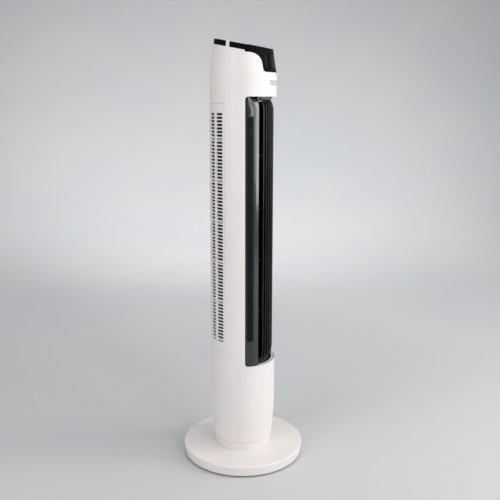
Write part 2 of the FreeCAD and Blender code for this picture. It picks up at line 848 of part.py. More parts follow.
def rear_housing():
    shell = column_wall().common(box(-100, 100, 0, 100, 0, above_everything))
    window = wedge(90, 70, grille_bottom_z - grille_gap, grille_top_z + grille_gap,
                   180 - grille_half_deg - 0.25, 180 + grille_half_deg + 0.25)
    shell = shell.cut([window, cap_zone()])
    bridge = cap_body().common(box(-100, 100, bridge_front_y, bridge_back_y, 900, above_everything))
    places = [(sign, z) for sign in (-1, 1) for z in seam_screw_heights]
    bosses = [seam_boss(sign, z, False) for sign, z in places]
    bores = [seam_bore(sign, z, -1, 20, screw_radius + 0.2) for sign, z in places]
    gland_hole = Part.makeCylinder(gland_radius + 0.1, 30, Vector(0, 60, gland_z), Vector(0, 1, 0))
    seat_y = envelope_radius(gland_z) - gland_seat_depth
    gland_seat = Part.makeCylinder(gland_flange_radius + 0.3, 10, Vector(0, seat_y, gland_z), Vector(0, 1, 0))
    return shell.fuse(bosses + [bridge]).cut(bores + [gland_hole, gland_seat])


def housing_screws():
    screws = []
    for sign in (-1, 1):
        for z in seam_screw_heights:
            head = seam_bore(sign, z, boss_length, boss_length + 2.4, screw_head_radius)
            shank = seam_bore(sign, z, -9, boss_length + 1, screw_radius)
            slot = box(sign * boss_x - 2.6, sign * boss_x + 2.6, boss_length + 1.4, boss_length + 3,
                       z - 0.4, z + 0.4)
            screws.append(head.fuse(shank).cut(slot))
    return group(screws)


def rear_grille():
    """Removable intake panel: rows of slots, with ribs behind them."""
    panel = wedge(column_radius, column_radius - shell_wall, grille_bottom_z, grille_top_z,
                  180 - grille_half_deg, 180 + grille_half_deg)
    rib_outer = column_radius - shell_wall + 0.2
    rib_inner = column_radius - shell_wall - grille_rib_depth
    columns = [180 + slot_column_pitch_deg * (index - (slot_columns - 1) / 2)
               for index in range(slot_columns)]
    slots = []
    for row in range(slot_rows):
        z = first_slot_z - slot_pitch * row
        for centre in columns:
            slots.append(wedge(85, 72, z - slot_height / 2, z + slot_height / 2,
                               centre - slot_width_deg / 2, centre + slot_width_deg / 2))
    panel = panel.cut(slots)
    half_rib = math.degrees(grille_rib_width / 2 / column_radius)
    betweens = [centre + slot_column_pitch_deg / 2 for centre in columns[:-1]]
    ribs = [wedge(rib_outer, rib_inner, grille_bottom_z + 8, grille_top_z - 8,
                  between - half_rib, between + half_rib) for between in betweens]
    rib_reach = grille_half_deg - 6
    for row in range(ring_rib_first_row - 1, slot_rows, ring_rib_every):
        z = first_slot_z - slot_pitch * row
        ribs.append(wedge(rib_outer, rib_inner, z - grille_rib_width / 2, z + grille_rib_width / 2,
                          180 - rib_reach, 180 + rib_reach))
    groove_z = grille_top_z - groove_below_top
    groove = wedge(85, column_radius - groove_depth, groove_z - groove_width / 2, groove_z + groove_width / 2,
                   180 - grille_half_deg, 180 + grille_half_deg)
    return panel.fuse(ribs).cut(groove)


def dust_screen():
    """Fine dark mesh behind the slots, as a thin curved sheet held by the grille's ribs."""
    return wedge(screen_outer, screen_outer - screen_thickness,
                 grille_bottom_z + screen_margin, upper_plate_z - screen_margin,
                 180 - screen_half_deg, 180 + screen_half_deg)


# ---- outlet ----------------------------------------------------------------
def mouth_bar(bottom, top):
    """Level bar across the mouth behind the ends of the fins, bowed a little forward."""
    half = mouth_edge_x + return_thickness
    depth = 4.5

    def bow(shift):
        side_y = frame_bar_front_y + 5.5 + shift
        return (Vector(-half, side_y, bottom), Vector(0, frame_bar_front_y + shift, bottom),
                Vector(half, side_y, bottom))

    front, back = bow(0.0), bow(depth)
    edges = [arc(front[0], front[1], front[2]), line(front[2], back[2]),
             arc(back[2], back[1], back[0]), line(back[0], front[0])]
    return Part.Face(Part.Wire(edges)).extrude(UP * (top - bottom))


def mouth_panel(sign, bottom, top):
    """Flat stretch of the insert from its bend to the mouth, with the wall that turns back inside."""
    bend = polar(surround_outer - 0.05, panel_bend_deg)
    bend_back = polar(surround_inner, panel_bend_deg)
    wall_x = mouth_edge_x + return_thickness
    outline = [(bend.x, bend.y), (mouth_edge_x, mouth_edge_y), (mouth_edge_x, duct_back_y),
               (wall_x, duct_back_y), (wall_x, mouth_edge_y + 3.8), (bend_back.x, bend_back.y)]
    corners = [Vector(sign * x, y, bottom) for x, y in outline]
    return Part.Face(Part.makePolygon(corners + corners[:1])).extrude(UP * (top - bottom))


def side_window(sign, slack):
    """Curved block where a side grille sits; slack grows it on every side."""
    slack_deg = math.degrees(slack / column_radius)
    start, end = side_grille_from_deg - slack_deg, side_grille_to_deg + slack_deg
    if sign < 0:
        start, end = -end, -start
    return start, end, side_grille_bottom_z - slack, side_grille_top_z + slack


def outlet_surround():
    """Gloss insert that lines the front opening and forms the mouth."""
    gap = 0.3
    low, high = opening_bottom_z + gap, opening_top_z - gap
    edge_deg = opening_half_deg - 0.25
    block = rounded_window(edge_deg, low, high, opening_corner, surround_outer, surround_inner)
    mouth = wedge(90, 60, low - 5, high + 5, -panel_bend_deg, panel_bend_deg)
    pieces = [mouth_panel(sign, low, high) for sign in (-1, 1)]
    pieces += [mouth_bar(low, low + frame_bar_height), mouth_bar(high - frame_bar_height, high)]
    shelf_reach = math.degrees(math.atan2(mouth_edge_x + 0.5, -mouth_edge_y))
    pieces += [wedge(sill_inner - gap, 58.0, z, z + sill_thickness, -shelf_reach, shelf_reach)
               for z in (low, high - sill_thickness)]
    windows = []
    for sign in (-1, 1):
        start, end, bottom, top = side_window(sign, 0.1)
        windows.append(wedge(90, 70, bottom, top, start, end))
    return block.cut(mouth).fuse(pieces).cut(windows)


def side_grille(sign):
    """Strip of fine level slots beside the mouth."""
    start, end, bottom, top = side_window(sign, 0.0)
    strip = wedge(surround_outer - 0.6, surround_inner, bottom, top, start, end)
    margin_deg = 1.0
    rows = int((top - bottom - 4) / side_slot_pitch)
    first = (top + bottom) / 2 - side_slot_pitch * (rows - 1) / 2
    slots = [wedge(90, 70, first + side_slot_pitch * row - side_slot_height / 2,
                   first + side_slot_pitch * row + side_slot_height / 2,
                   start + margin_deg, end - margin_deg) for row in range(rows)]
    return strip.cut(slots)


def fin():
    """Upright fin whose front edge curves back at both ends."""
    half = fin_thickness / 2

    def at(radius, z):
        return Vector(-half, -radius, z)

    depth = fin_front_radius - fin_end_radius
    edges = [
        line(at(fin_back_radius, fin_bottom_z), at(fin_end_radius, fin_bottom_z)),
        arc(at(fin_end_radius, fin_bottom_z),
            at(fin_front_radius - CORNER_IN * depth, fin_bottom_z + CORNER_IN * fin_end_length),
            at(fin_front_radius, fin_bottom_z + fin_end_length)),
        line(at(fin_front_radius, fin_bottom_z + fin_end_length),
             at(fin_front_radius, fin_top_z - fin_end_length)),
        arc(at(fin_front_radius, fin_top_z - fin_end_length),
            at(fin_front_radius - CORNER_IN * depth, fin_top_z - CORNER_IN * fin_end_length),
            at(fin_end_radius, fin_top_z)),
        line(at(fin_end_radius, fin_top_z), at(fin_back_radius, fin_top_z)),
        line(at(fin_back_radius, fin_top_z), at(fin_back_radius, fin_bottom_z)),
    ]
    return Part.Face(Part.Wire(edges)).extrude(Vector(fin_thickness, 0, 0))


def cross_bar(bottom):
    """Thin level bar that joins the fins near their back edges."""
    half = duct_half_width
    thickness = 2.4
    side_y, middle_y = duct_back_y - 0.6, duct_back_y - 0.6 - cross_bar_bow

    def bow(shift):
        return (Vector(-half, side_y + shift, bottom), Vector(0, middle_y + shift, bottom),
                Vector(half, side_y + shift, bottom))

    front, back = bow(-thickness), bow(0)
    edges = [arc(front[0], front[1], front[2]), line(front[2], back[2]),
             arc(back[2], back[1], back[0]), line(back[0], front[0])]
    return Part.Face(Part.Wire(edges)).extrude(UP * cross_bar_height)


def outlet_grille():
    fins = []
    for index in range(fin_count):
        blade_shape = fin()
        bearing = fin_pitch_deg * (index - (fin_count - 1) / 2)
        blade_shape.rotate(Vector(0, 0, 0), UP, bearing)
        fins.append(blade_shape)
    low, high = fin_bottom_z + 1, fin_top_z - 1 - cross_bar_height
    bars = [cross_bar(low + (high - low) * index / (cross_bar_count - 1))
            for index in range(cross_bar_count)]
    return fins[0].fuse(fins[1:] + bars).removeSplitter()


# ---- head ------------------------------------------------------------------
def button_places():
    middle = (len(button_names) - 1) / 2
    return [button_pitch * (index - middle) for index in range(len(button_names))]


def window_block(proud):
    """Curved slab at the front of the head, where the display window lies."""
    slab = envelope(-proud).cut(envelope(window_depth, column_bottom_z - 1))
    return slab.common(box(-window_half_width, window_half_width, -100, 0, window_bottom_z, window_top_z))


def control_cap():
    """Gloss cap: sloping control panel and the display front that drops from it."""
    body = cap_body().common(box(-100, 100, -100, bridge_front_y, 900, above_everything))
    holes = [on_panel(rod(button_radius + button_play, -10, 10, x, button_row_y)) for x in button_places()]
    return body.cut(holes + [window_block(5.0)])


def rear_cap():
    body = cap_body().common(box(-100, 100, bridge_back_y, 100, 900, above_everything))
    return body.cut(on_panel(grip_block(0.1, 50, 50)))


def grip_block(slack, below, above):
    """Rounded slot-shaped block, in the panel frame."""
    radius = (grip_back_y - grip_front_y) / 2
    middle_y = (grip_back_y + grip_front_y) / 2
    reach = grip_half_width - radius
    ends = [rod(radius + slack, -below, above, x, middle_y) for x in (-reach, reach)]
    middle = box(-reach, reach, grip_front_y - slack, grip_back_y + slack, -below, above)
    return middle.fuse(ends)


def carry_grip():
    """Finger pocket behind the control panel, used to carry the fan."""
    cup = grip_block(0.0, grip_depth, 0)
    hollow = grip_block(-grip_wall, grip_depth - grip_wall, 5)
    return on_panel(cup.cut(hollow))


def display_window():
    return window_block(0.0)


def display_module():
    body = box(-24, 24, -67.5, -60.5, 972, 992)
    lead = box(-8, 8, -60.5, -58.5, 976, 986)
    return body.fuse(lead)


def receiver():
    """Infrared receiver behind the display window."""
    body = box(27, 34, -62, -58, 975, 983)
    dome = Part.makeSphere(2.4, Vector(30.5, -62, 979))
    return body.fuse(dome)


def control_board():
    board = box(-48, 48, -54, -14, -control_board_depth - board_thickness, -control_board_depth)
    return on_panel(board)


def tact_switches():
    top = button_travel + 7.8
    return group([on_panel(box(x - 3, x + 3, button_row_y - 3, button_row_y + 3, -control_board_depth, -top))
                  for x in button_places()])


def push_button(x):
    """Round key with a flange under the panel and a stem down to its switch."""
    cap = rod(button_radius, -cap_plate - 1.5, button_proud, x, button_row_y)
    top_edges = [edge for edge in cap.Edges if edge.BoundBox.ZMin > button_proud - 0.1]
    cap = cap.makeFillet(0.6, top_edges)
    flange = rod(button_radius + 1.3, -cap_plate - 1.7, -cap_plate - 0.2, x, button_row_y)
    stem = rod(2.2, -7.6, -cap_plate, x, button_row_y)
    return on_panel(cap.fuse([flange, stem]))


# ---- all nodes -------------------------------------------------------------
def build_nodes():
    nodes = {}
    for maker in (
            base_cover, base_plate, base_weight, rubber_feet, base_screws,
            base_collar, pivot_post, thrust_washer,
            retaining_washer, swing_gear, lock_nut,
            turntable, turntable_screws, swing_pinion, swing_motor_shaft, swing_motor,
            lower_chassis, power_board, power_parts, cord_gland,
            motor_lower_bell, motor_upper_bell, motor_stator, motor_windings,
            motor_bearings, motor_mounts, motor_screws, motor_rotor, motor_shaft,
            drive_hub, impeller, impeller_pin, lower_end_plate, upper_end_plate,
            bush_holder, upper_bush, scroll, tongue,
            front_housing, rear_housing, housing_screws, rear_grille, dust_screen,
            outlet_surround, outlet_grille,
            control_cap, rear_cap, carry_grip, display_window, display_module,
            receiver, control_board, tact_switches):
        nodes[maker.__name__] = maker()
    nodes["side_grille_left"] = side_grille(1)
    nodes["side_grille_right"] = side_grille(-1)
    for name, x in zip(button_names, button_places()):
        nodes[name + "_button"] = push_button(x)
    return nodes


def main():
    os.makedirs("parts", exist_ok=True)
    for name, shape in build_nodes().items():
        shape.exportStep(os.path.join("parts", name + ".step"))


main()
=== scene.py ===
import math
import bpy
from mathutils import Matrix, Vector
from mathutils.geometry import delaunay_2d_cdt
from mathutils.kdtree import KDTree
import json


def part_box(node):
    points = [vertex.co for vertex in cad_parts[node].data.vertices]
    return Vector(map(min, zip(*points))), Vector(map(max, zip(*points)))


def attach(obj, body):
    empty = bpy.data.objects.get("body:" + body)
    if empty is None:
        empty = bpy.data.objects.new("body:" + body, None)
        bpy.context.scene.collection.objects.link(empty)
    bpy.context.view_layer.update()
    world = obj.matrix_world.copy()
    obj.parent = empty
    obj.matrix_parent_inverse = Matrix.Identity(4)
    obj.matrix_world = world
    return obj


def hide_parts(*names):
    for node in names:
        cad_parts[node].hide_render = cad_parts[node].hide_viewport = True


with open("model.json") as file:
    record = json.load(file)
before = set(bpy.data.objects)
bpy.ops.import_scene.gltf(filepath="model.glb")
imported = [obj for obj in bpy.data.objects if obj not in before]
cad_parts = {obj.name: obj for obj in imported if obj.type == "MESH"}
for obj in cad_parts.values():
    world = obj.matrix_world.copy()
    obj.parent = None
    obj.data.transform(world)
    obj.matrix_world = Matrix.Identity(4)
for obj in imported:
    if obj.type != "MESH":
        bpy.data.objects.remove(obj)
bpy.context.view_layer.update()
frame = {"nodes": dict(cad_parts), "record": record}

# Shapes are worked out in millimetres and become metres when a piece is made. +Z is up and the
# air leaves towards -Y. A bearing, in radians, runs round the column from the front (0, -Y)
# towards +X (90 degrees); 180 degrees is the back.
MM = 0.001
UP = Vector((0, 0, 1))
SMOOTH = -1.0                    # in a profile: a corner of a curve, shaded as one surface


def low_of(node):
    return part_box(node)[0] / MM


def high_of(node):
    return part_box(node)[1] / MM


# ---- the column's outside ----
column_radius = high_of("front_housing").x
column_bottom = low_of("front_housing").z
taper_top = 150.0
taper_drop = 0.000718            # radius lost per square millimetre below taper_top
head_base = 955.0
head_draft = 0.157               # radius lost per millimetre of height in the head
top_slope = 0.193
top_angle = math.atan(top_slope)
top_centre = 1024.9
shell_wall = 2.5
seam_round = 0.3
rim_round = 1.0
crisp = 0.3                      # edge round of small parts
fine_turn = math.radians(45)     # largest turn between points of a small corner
fine_side = 2.0                  # longest side of a finely meshed outline
shell_across, shell_tall = 4.2, 12.0    # spacing of the shells' mesh

# ---- the base ----
cover_wall = 3.0
cover_hole = 20.0
cover_flare = 2.5                # how far the rim's foot is set in
cover_top_round = 2.6
cover_foot_round = 0.6
cover_inside_top, cover_inside_foot = 5.0, 5.2
collar_deck = 4.0
collar_wall = 3.0
collar_hole = 15.1
collar_flange = 51.0
collar_round = 0.4
inside_round = 1.0

# ---- screw bosses ----
boss_x = 71.0
boss_heights = (340.0, 500.0, 660.0, 820.0)
boss_length = 12.0
boss_radius, boss_bore = 4.5, 2.1
boss_web_gap, boss_web_reach = 4.0, 77.2
boss_web_margin = 0.5
boss_web_thickness = 3.0
front_boss_start, rear_boss_start = -12.0, 0.0

# ---- the mouth ----
opening_gap = 0.3
opening_bottom = low_of("outlet_surround").z - opening_gap
opening_top = high_of("outlet_surround").z + opening_gap
opening_half = math.radians(63.8)
opening_corner = 7.0
opening_side_gap = math.radians(0.25)
insert_radius = 79.2
insert_bend = math.radians(47.0)
insert_blend = math.radians(49.2)
insert_wall = 1.2
insert_landing = 0.6             # share of the way from bend to mouth where the blend ends
insert_edge_round = 0.25
insert_top_pull = 10.0           # how far the insert's top end leans back
insert_top_length = 26.0
insert_pull_start = 6.0
mouth_edge_x = 44.6
mouth_edge_y = -59.9
mouth_back_y = -50.0
mouth_round = 1.3
mouth_bar_height, mouth_bar_depth = 6.5, 4.5
mouth_bar_side, mouth_bar_middle = -57.0, -62.5
mouth_bar_reach = 2.0            # how far the bars run into the insert's walls
mouth_bar_round = 0.4
shelf_inner, shelf_outer = 58.0, 69.2
shelf_reach = 0.5
foot_shelf_outer = 72.0
sill_inner, sill_outer = 69.5, 79.5
sill_half = math.radians(46.0)
sheet_thickness = 2.0
strip_from, strip_to = math.radians(48.7), math.radians(61.0)
strip_margin = math.radians(1.0)
strip_sunk = 0.3
strip_wall = 2.0
strip_gap = 0.1
strip_end_margin = 4.0
strip_slot_pitch = 5.0
strip_slot_height = 3.0
strip_slot_round = 0.8
fin_count = 8
fin_pitch = math.radians(7.3)
fin_thickness = 1.8
fin_round = 0.7
fin_front, fin_end, fin_back = 73.6, 62.0, 60.0
fin_end_length = 26.0
fin_bar_count = 6
fin_bar_height, fin_bar_depth = 2.4, 2.4
fin_bar_half = 44.2
fin_bar_side, fin_bar_middle = -53.0, -65.0
fin_bar_margin = 1.0

# ---- the back ----
grille_half = math.radians(79.5)
grille_gap, grille_side_gap = 0.3, math.radians(0.25)
grille_round, grille_corner = 0.45, 0.8
grille_fine_end = 30.0           # height of the finer mesh at the panel's foot
slot_rows = 68
slot_pitch = 8.18
first_slot = 862.5
slot_height = 5.3
slot_columns = 8
slot_column_pitch = math.radians(19.7)
slot_width = math.radians(13.5)
slot_round = 1.2
slot_side, groove_side = 4.8, 2.5       # longest mesh sides along slots and groove
rib_half, rib_height = 0.9, 3.3
rib_margin = 8.0
ring_rib_first, ring_rib_rows = 7, 12
groove_below_top = 9.5
groove_half, groove_depth = 0.7, 0.6
gland_height = 76.0
gland_seat_radius = 9.7

# ---- the head ----
band_height = 12.5
drop_bottom = 957.7
drop_half_width = 41.0
drop_corner = 7.0
drop_flare = 24.0
drop_flare_z = 978.0
drop_edge_steps = (28, 22, 16, 10, 5)
cap_wall = 2.5
bridge_front, bridge_back = 4.5, 13.5
bridge_foot = 0.5
bridge_round = 0.25
cap_front_round, cap_rear_round = 0.25, 0.3
window_half_width = 31.0
window_low, window_high = 966.0, 998.0
window_round = 3.0
window_wall = 1.4
window_gap = 0.15
key_names = ("power", "speed", "mode", "timer", "swing")
key_row = -36.0
key_radius = 6.5
key_gap = 0.3
key_crown, key_dish_radius = 1.0, 5.8
key_flange_radius, key_flange_top, key_flange_bottom = 7.8, -3.2, -4.7
key_stem_radius, key_stem_bottom = 2.2, -7.6
key_dish_depth, key_dish_curve = 0.55, 0.012
sign_line = 0.55
sign_lift, sign_thickness = 0.05, 0.15
grip_half_width = 38.0
grip_front, grip_back = 23.0, 46.0
grip_gap = 0.1
mark_height = 934.0
mark_half, mark_wave, mark_line = 24.0, 1.2, 1.3
mark_rows = (-4.0, 0.0, 4.0)
mark_proud, mark_thickness = 0.08, 0.2


# ---- solids ----
class Solid:
    """Points, faces and a shading normal for every face corner. Points that meet are shared."""

    def __init__(self):
        self.points = []
        self.faces = []
        self.normals = []
        self.known = {}

    def corner(self, point):
        """Index of the point, shared by all that fall on the same micrometre."""
        key = tuple(round(value / MM) for value in point)
        if key not in self.known:
            self.known[key] = len(self.points)
            self.points.append(point * MM)
        return self.known[key]

    def face(self, corners):
        """Add a face from (point, normal) pairs; corners that fall together are left out."""
        kept = []
        for point, normal in corners:
            index = self.corner(point)
            if all(index != other for other, _ in kept):
                kept.append((index, normal))
        if len(kept) > 2:
            self.faces.append([index for index, _ in kept])
            self.normals += [normal for _, normal in kept]

    def strip(self, first, second):
        """Faces between two closed rings of (point, normal) pairs."""
        for index in range(len(first)):
            self.face([first[index - 1], first[index], second[index], second[index - 1]])


def link(name, data):
    """Put a mesh, light or camera in the scene."""
    made = bpy.data.objects.new(name, data)
    bpy.context.scene.collection.objects.link(made)
    return made


def make_piece(name, solid, body, slot, *stands_for, finish=None):
    """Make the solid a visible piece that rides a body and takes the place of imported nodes."""
    mesh = bpy.data.meshes.new(name)
    mesh.from_pydata(solid.points, [], solid.faces)
    mesh.shade_smooth()
    mesh.normals_split_custom_set(solid.normals)
    mesh.materials.append(finish or finishes[slot])
    made = link(name, mesh)
    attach(made, body)
    if stands_for:
        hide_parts(*stands_for)


def bisect(sides):
    """The step that moves both sides of a corner out by one, from the sides' unit directions."""
    first, second = (Vector((side.y, -side.x)) for side in sides)
    return (first + second) / max(0.3, 1 + first.dot(second))


def profile(corners, turn_step=math.radians(15)):
    """(point, normal) pairs round a closed profile of (x, y, radius) corners."""
    spots = [Vector(corner[:2]) for corner in corners]
    made = []
    for index, (_, _, radius) in enumerate(corners):
        before, here, after = spots[index - 1], spots[index], spots[(index + 1) % len(spots)]
        sides = ((here - before).normalized(), (after - here).normalized())
        start, end = (Vector((side.y, -side.x)) for side in sides)
        turn = math.atan2(sides[0].x * sides[1].y - sides[0].y * sides[1].x, sides[0].dot(sides[1]))
        if radius == SMOOTH:
            made.append((here, (start + end).normalized()))
        elif radius == 0 or abs(turn) < 0.001:
            made += [(here, start), (here, end)]
        else:
            bulge = 1 if turn > 0 else -1
            centre = here - bisect(sides) * radius * bulge
            steps = max(2, math.ceil(abs(turn) / turn_step))
            for step in range(steps + 1):
                normal = start.copy()
                normal.rotate(Matrix.Rotation(turn * step / steps, 2))
                made.append((centre + normal * radius * bulge, normal))
    return made


def outline(corners, longest=4.0, turn_step=math.radians(15)):
    """Points round a closed flat outline, with none of its sides over the longest."""
    spots = [point for point, _ in profile(corners, turn_step)]
    made = []
    for index, here in enumerate(spots):
        after = spots[(index + 1) % len(spots)]
        parts = math.ceil((after - here).length / longest)
        made += [here.lerp(after, part / parts) for part in range(parts)]
    return made


def sharp_outline(spots, longest=4.0):
    return outline([(*spot, 0) for spot in spots], longest)


def rectangle(left, right, low, high, radius=0.0):
    return [(left, low, radius), (right, low, radius), (right, high, radius), (left, high, radius)]


def circle(x, y, radius, count=48):
    angles = [2 * math.pi * step / count for step in range(count)]
    return [(x + radius * math.cos(angle), y + radius * math.sin(angle)) for angle in angles]


def grid(left, right, low, high, across, tall):
    columns, rows = math.ceil((right - left) / across), math.ceil((high - low) / tall)
    return [Vector((left + (right - left) * column / columns, low + (high - low) * row / rows))
            for column in range(columns + 1) for row in range(rows + 1)]


def turned_left(loop, outer):
    """The loop with the material on its left."""
    area = sum(a.x * b.y - b.x * a.y for a, b in zip(loop, loop[1:] + loop[:1]))
    return loop if (area > 0) == outer else loop[::-1]


def away_from(points, edges, distance):
    tree = KDTree(len(edges))
    for index, edge in enumerate(edges):
        tree.insert(edge.to_3d(), index)
    tree.balance()
    return [point for point in points if tree.find(point.to_3d())[2] > distance]


def left_of(rim, triangles):
    """The triangles that can be reached from the left of the rim's edges without crossing them."""
    owner = {}
    for number, triangle in enumerate(triangles):
        for edge in zip(triangle, triangle[1:] + triangle[:1]):
            owner[edge] = number
    waiting = [owner[edge] for edge in rim if edge in owner]
    reached = set(waiting)
    while waiting:
        triangle = triangles[waiting.pop()]
        for start, end in zip(triangle, triangle[1:] + triangle[:1]):
            beyond = owner.get((end, start))
            if (start, end) not in rim and beyond is not None and beyond not in reached:
                reached.add(beyond)
                waiting.append(beyond)
    return [triangles[number] for number in sorted(reached)]


def quarter(steps):
    """(sine, cosine) pairs through a quarter turn."""
    return [(math.sin(turn), math.cos(turn))
            for turn in (math.pi / 2 * step / steps for step in range(steps + 1))]


def rim_profile(flat, out, place, wall, front, back, steps):
    """The edge of a moulding at one outline corner, from its front face round to its back."""
    normal = place(flat, 0)[1]
    aside = (place(flat + out * 0.01, 0)[0] - place(flat, 0)[0]).normalized()
    made = []
    for sine, cosine in quarter(steps):
        made.append((flat - out * front * (1 - sine), front * (1 - cosine), normal * cosine + aside * sine))
    for sine, cosine in quarter(steps):
        spot = flat - out * back * (1 - cosine)
        made.append((spot, wall - back * (1 - sine), aside * cosine - normal * sine))
    made.append((flat - out * front, wall, -normal))
    return made


def thicken(solid, outlines, inside, place, wall, front=seam_round, back=0.0, steps=3):
    """A sheet of even wall with rounded edges: the first outline is its border, the rest are holes.

    place carries a flat point and a depth to (point, normal) on the real surface. front and back
    are the edge rounds of its two faces; front may also be a function of the flat point.
    """
    rounding = front if callable(front) else lambda flat: front
    border, links, rims = [], [], []
    for number, loop in enumerate(outlines):
        loop = turned_left(loop, number == 0)
        first = len(border)
        rows = []
        for index, here in enumerate(loop):
            sides = ((here - loop[index - 1]).normalized(),
                     (loop[(index + 1) % len(loop)] - here).normalized())
            rows.append(rim_profile(here, bisect(sides), place, wall, rounding(here), back, steps))
        border += [row[0][0] for row in rows]
        links += [(first + index, first + (index + 1) % len(loop)) for index in range(len(loop))]
        rims.append(rows)
    spots = border + away_from(inside, border, 1.2)
    found, _, triangles, origin, _, _ = delaunay_2d_cdt(spots, links, [], 1, 0.0001)
    where = {source: index for index, sources in enumerate(origin) for source in sources}
    spots = [spots[sources[0]] if sources else spot for spot, sources in zip(found, origin)]
    rim = {(where[start], where[end]) for start, end in links}
    for triangle in left_of(rim, triangles):
        solid.face([place(spots[index], 0) for index in triangle])
        behind = [place(spots[index], wall) for index in reversed(triangle)]
        solid.face([(point, -normal) for point, normal in behind])
    for rows in rims:
        rings = [[(place(spot, depth)[0], normal) for spot, depth, normal in level] for level in zip(*rows)]
        for near, far in zip(rings, rings[1:]):
            solid.strip(far, near)


def spin(solid, corners, count=256, turn_step=math.radians(15), where=None):
    """Solid of revolution of a closed (radius, height, round) profile, about Z or in a given frame."""
    entries = profile(corners, turn_step)
    where = where or Matrix.Identity(4)
    turn_only = where.to_3x3()
    rings = []
    for spot, normal in entries:
        ring = []
        for index in range(count):
            bearing = 2 * math.pi * index / count
            out = Vector((math.sin(bearing), -math.cos(bearing), 0))
            point = where @ (out * max(spot.x, 0.0) + UP * spot.y)
            ring.append((point, turn_only @ (out * normal.x + UP * normal.y)))
        rings.append(ring)
    for index, ring in enumerate(rings):
        solid.strip(ring, rings[(index + 1) % len(rings)])


# ---- surfaces ----
def radius_at(z):
    if z < taper_top:
        return column_radius - taper_drop * (taper_top - z) ** 2
    return column_radius - head_draft * max(0.0, z - head_base)


def slope_at(z):
    if z < taper_top:
        return 2 * taper_drop * (taper_top - z)
    return -head_draft if z > head_base else 0.0


def outward(bearing):
    return Vector((math.sin(bearing), -math.cos(bearing), 0))


def on_column(flat, depth, proud=0.0):
    """Flat x is the bearing times the column's radius and flat y is the height."""
    out = outward(flat.x / column_radius)
    normal = (out - UP * slope_at(flat.y)).normalized()
    return out * radius_at(flat.y) + UP * flat.y - normal * (depth - proud), normal


def on_round(radius):
    """Upright cylinder, with the same flat coordinates as the column."""
    def place(flat, depth):
        out = outward(flat.x / column_radius)
        return out * (radius - depth) + UP * flat.y, out
    return place


def level_sheet(top):
    """Level plate, with its upper face at top."""
    def place(flat, depth):
        return Vector((flat.x, flat.y, top - depth)), UP
    return place


def plate(solid, loop, top, height, edge=crisp):
    """Add a level plate with rounded edges."""
    thicken(solid, [loop], [], level_sheet(top), height, edge, edge, 2)


def unrolled(bearing, z):
    return Vector((bearing * column_radius, z))


def top_z(y):
    return top_centre + top_slope * y


panel_normal = Vector((0, -math.sin(top_angle), math.cos(top_angle)))
skin_tilt = 1 / math.hypot(1, head_draft)


def settle(first, rule, rounds=8):
    """Repeat a rule until it stands still."""
    for _ in range(rounds):
        first = rule(first)
    return first


def rim_radius(bearing):
    """Radius at which the sloping top meets the skin."""
    return settle(column_radius, lambda radius: radius_at(top_z(-radius * math.cos(bearing))))


def band_bottom(bearing):
    """Height of the black band's lower edge, on a plane parallel to the top."""
    drop = band_height / math.cos(top_angle)
    return settle(top_centre, lambda z: top_z(-radius_at(z) * math.cos(bearing)) - drop)


def on_head(flat, depth):
    """The head opened flat like a hat: the top as seen from above, and its skin folded out round it."""
    bearing = math.atan2(flat.x, -flat.y)
    rim = rim_radius(bearing)
    out = outward(bearing)
    past = flat.length - rim
    skin_normal = (out + UP * head_draft) * skin_tilt
    edge = out * rim + UP * top_z(-rim * math.cos(bearing))
    mitre = (panel_normal + skin_normal) / (1 + panel_normal.dot(skin_normal))
    reach = math.sqrt(max(0.0, mitre.length_squared - 1)) * depth

    def top(inset):
        return out * (rim - inset) + UP * top_z(-(rim - inset) * math.cos(bearing))

    def skin(drop):
        z = edge.z - drop
        return out * radius_at(z) + UP * z

    if abs(past) < rim_round:
        share = (past / rim_round + 1) / 2
        normal = panel_normal.lerp(skin_normal, share).normalized()
        upper, lower = top(rim_round), skin(rim_round)
        point = upper.lerp(edge, share).lerp(edge.lerp(lower, share), share)
    elif past < 0:
        normal, point = panel_normal, top(-past)
    else:
        normal, point = skin_normal, skin(past)
    if abs(past) < max(reach, 0.001):
        return edge - mitre * depth, normal
    return point - normal * depth, normal


def opened(bearing, z):
    """Where a point of the head's skin lies in the opened head."""
    rim = rim_radius(bearing)
    spread = rim + top_z(-rim * math.cos(bearing)) - z
    return Vector((spread * math.sin(bearing), -spread * math.cos(bearing)))


def cut_line(y):
    """The head cut at one y, opened flat: up its skin at +X, over the top and down at -X."""
    rise = []
    bearing = settle(math.pi / 2, lambda angle: math.acos(-y / radius_at(band_bottom(angle))))
    low = band_bottom(bearing)
    rim_bearing = settle(math.pi / 2, lambda angle: math.acos(-y / rim_radius(angle)))
    high = top_z(y) - rim_round
    for step in range(5):
        z = low + (high - low) * step / 4
        rise.append(opened(math.acos(-y / radius_at(z)), z))
    upper = Vector(((rim_radius(rim_bearing) - rim_round) * math.sin(rim_bearing), y))
    rise += [rise[-1].lerp(upper, step / 6) for step in range(1, 7)]
    across = [Vector((upper.x * (1 - 2 * step / 30), y)) for step in range(1, 30)]
    return rise + across + [Vector((-spot.x, spot.y)) for spot in reversed(rise)], bearing


def drop_side():
    """(x, z) points of the cap's drop at +X, from its shoulder down to its bottom edge."""
    shoulder = drop_half_width + drop_flare
    made = [(shoulder - drop_flare * sine, drop_flare_z + drop_flare * cosine)
            for sine, cosine in quarter(8)]
    made += [(drop_half_width - drop_corner * (1 - cosine), drop_bottom + drop_corner * (1 - sine))
             for sine, cosine in quarter(8)]
    return made + [(x, drop_bottom) for x in drop_edge_steps]


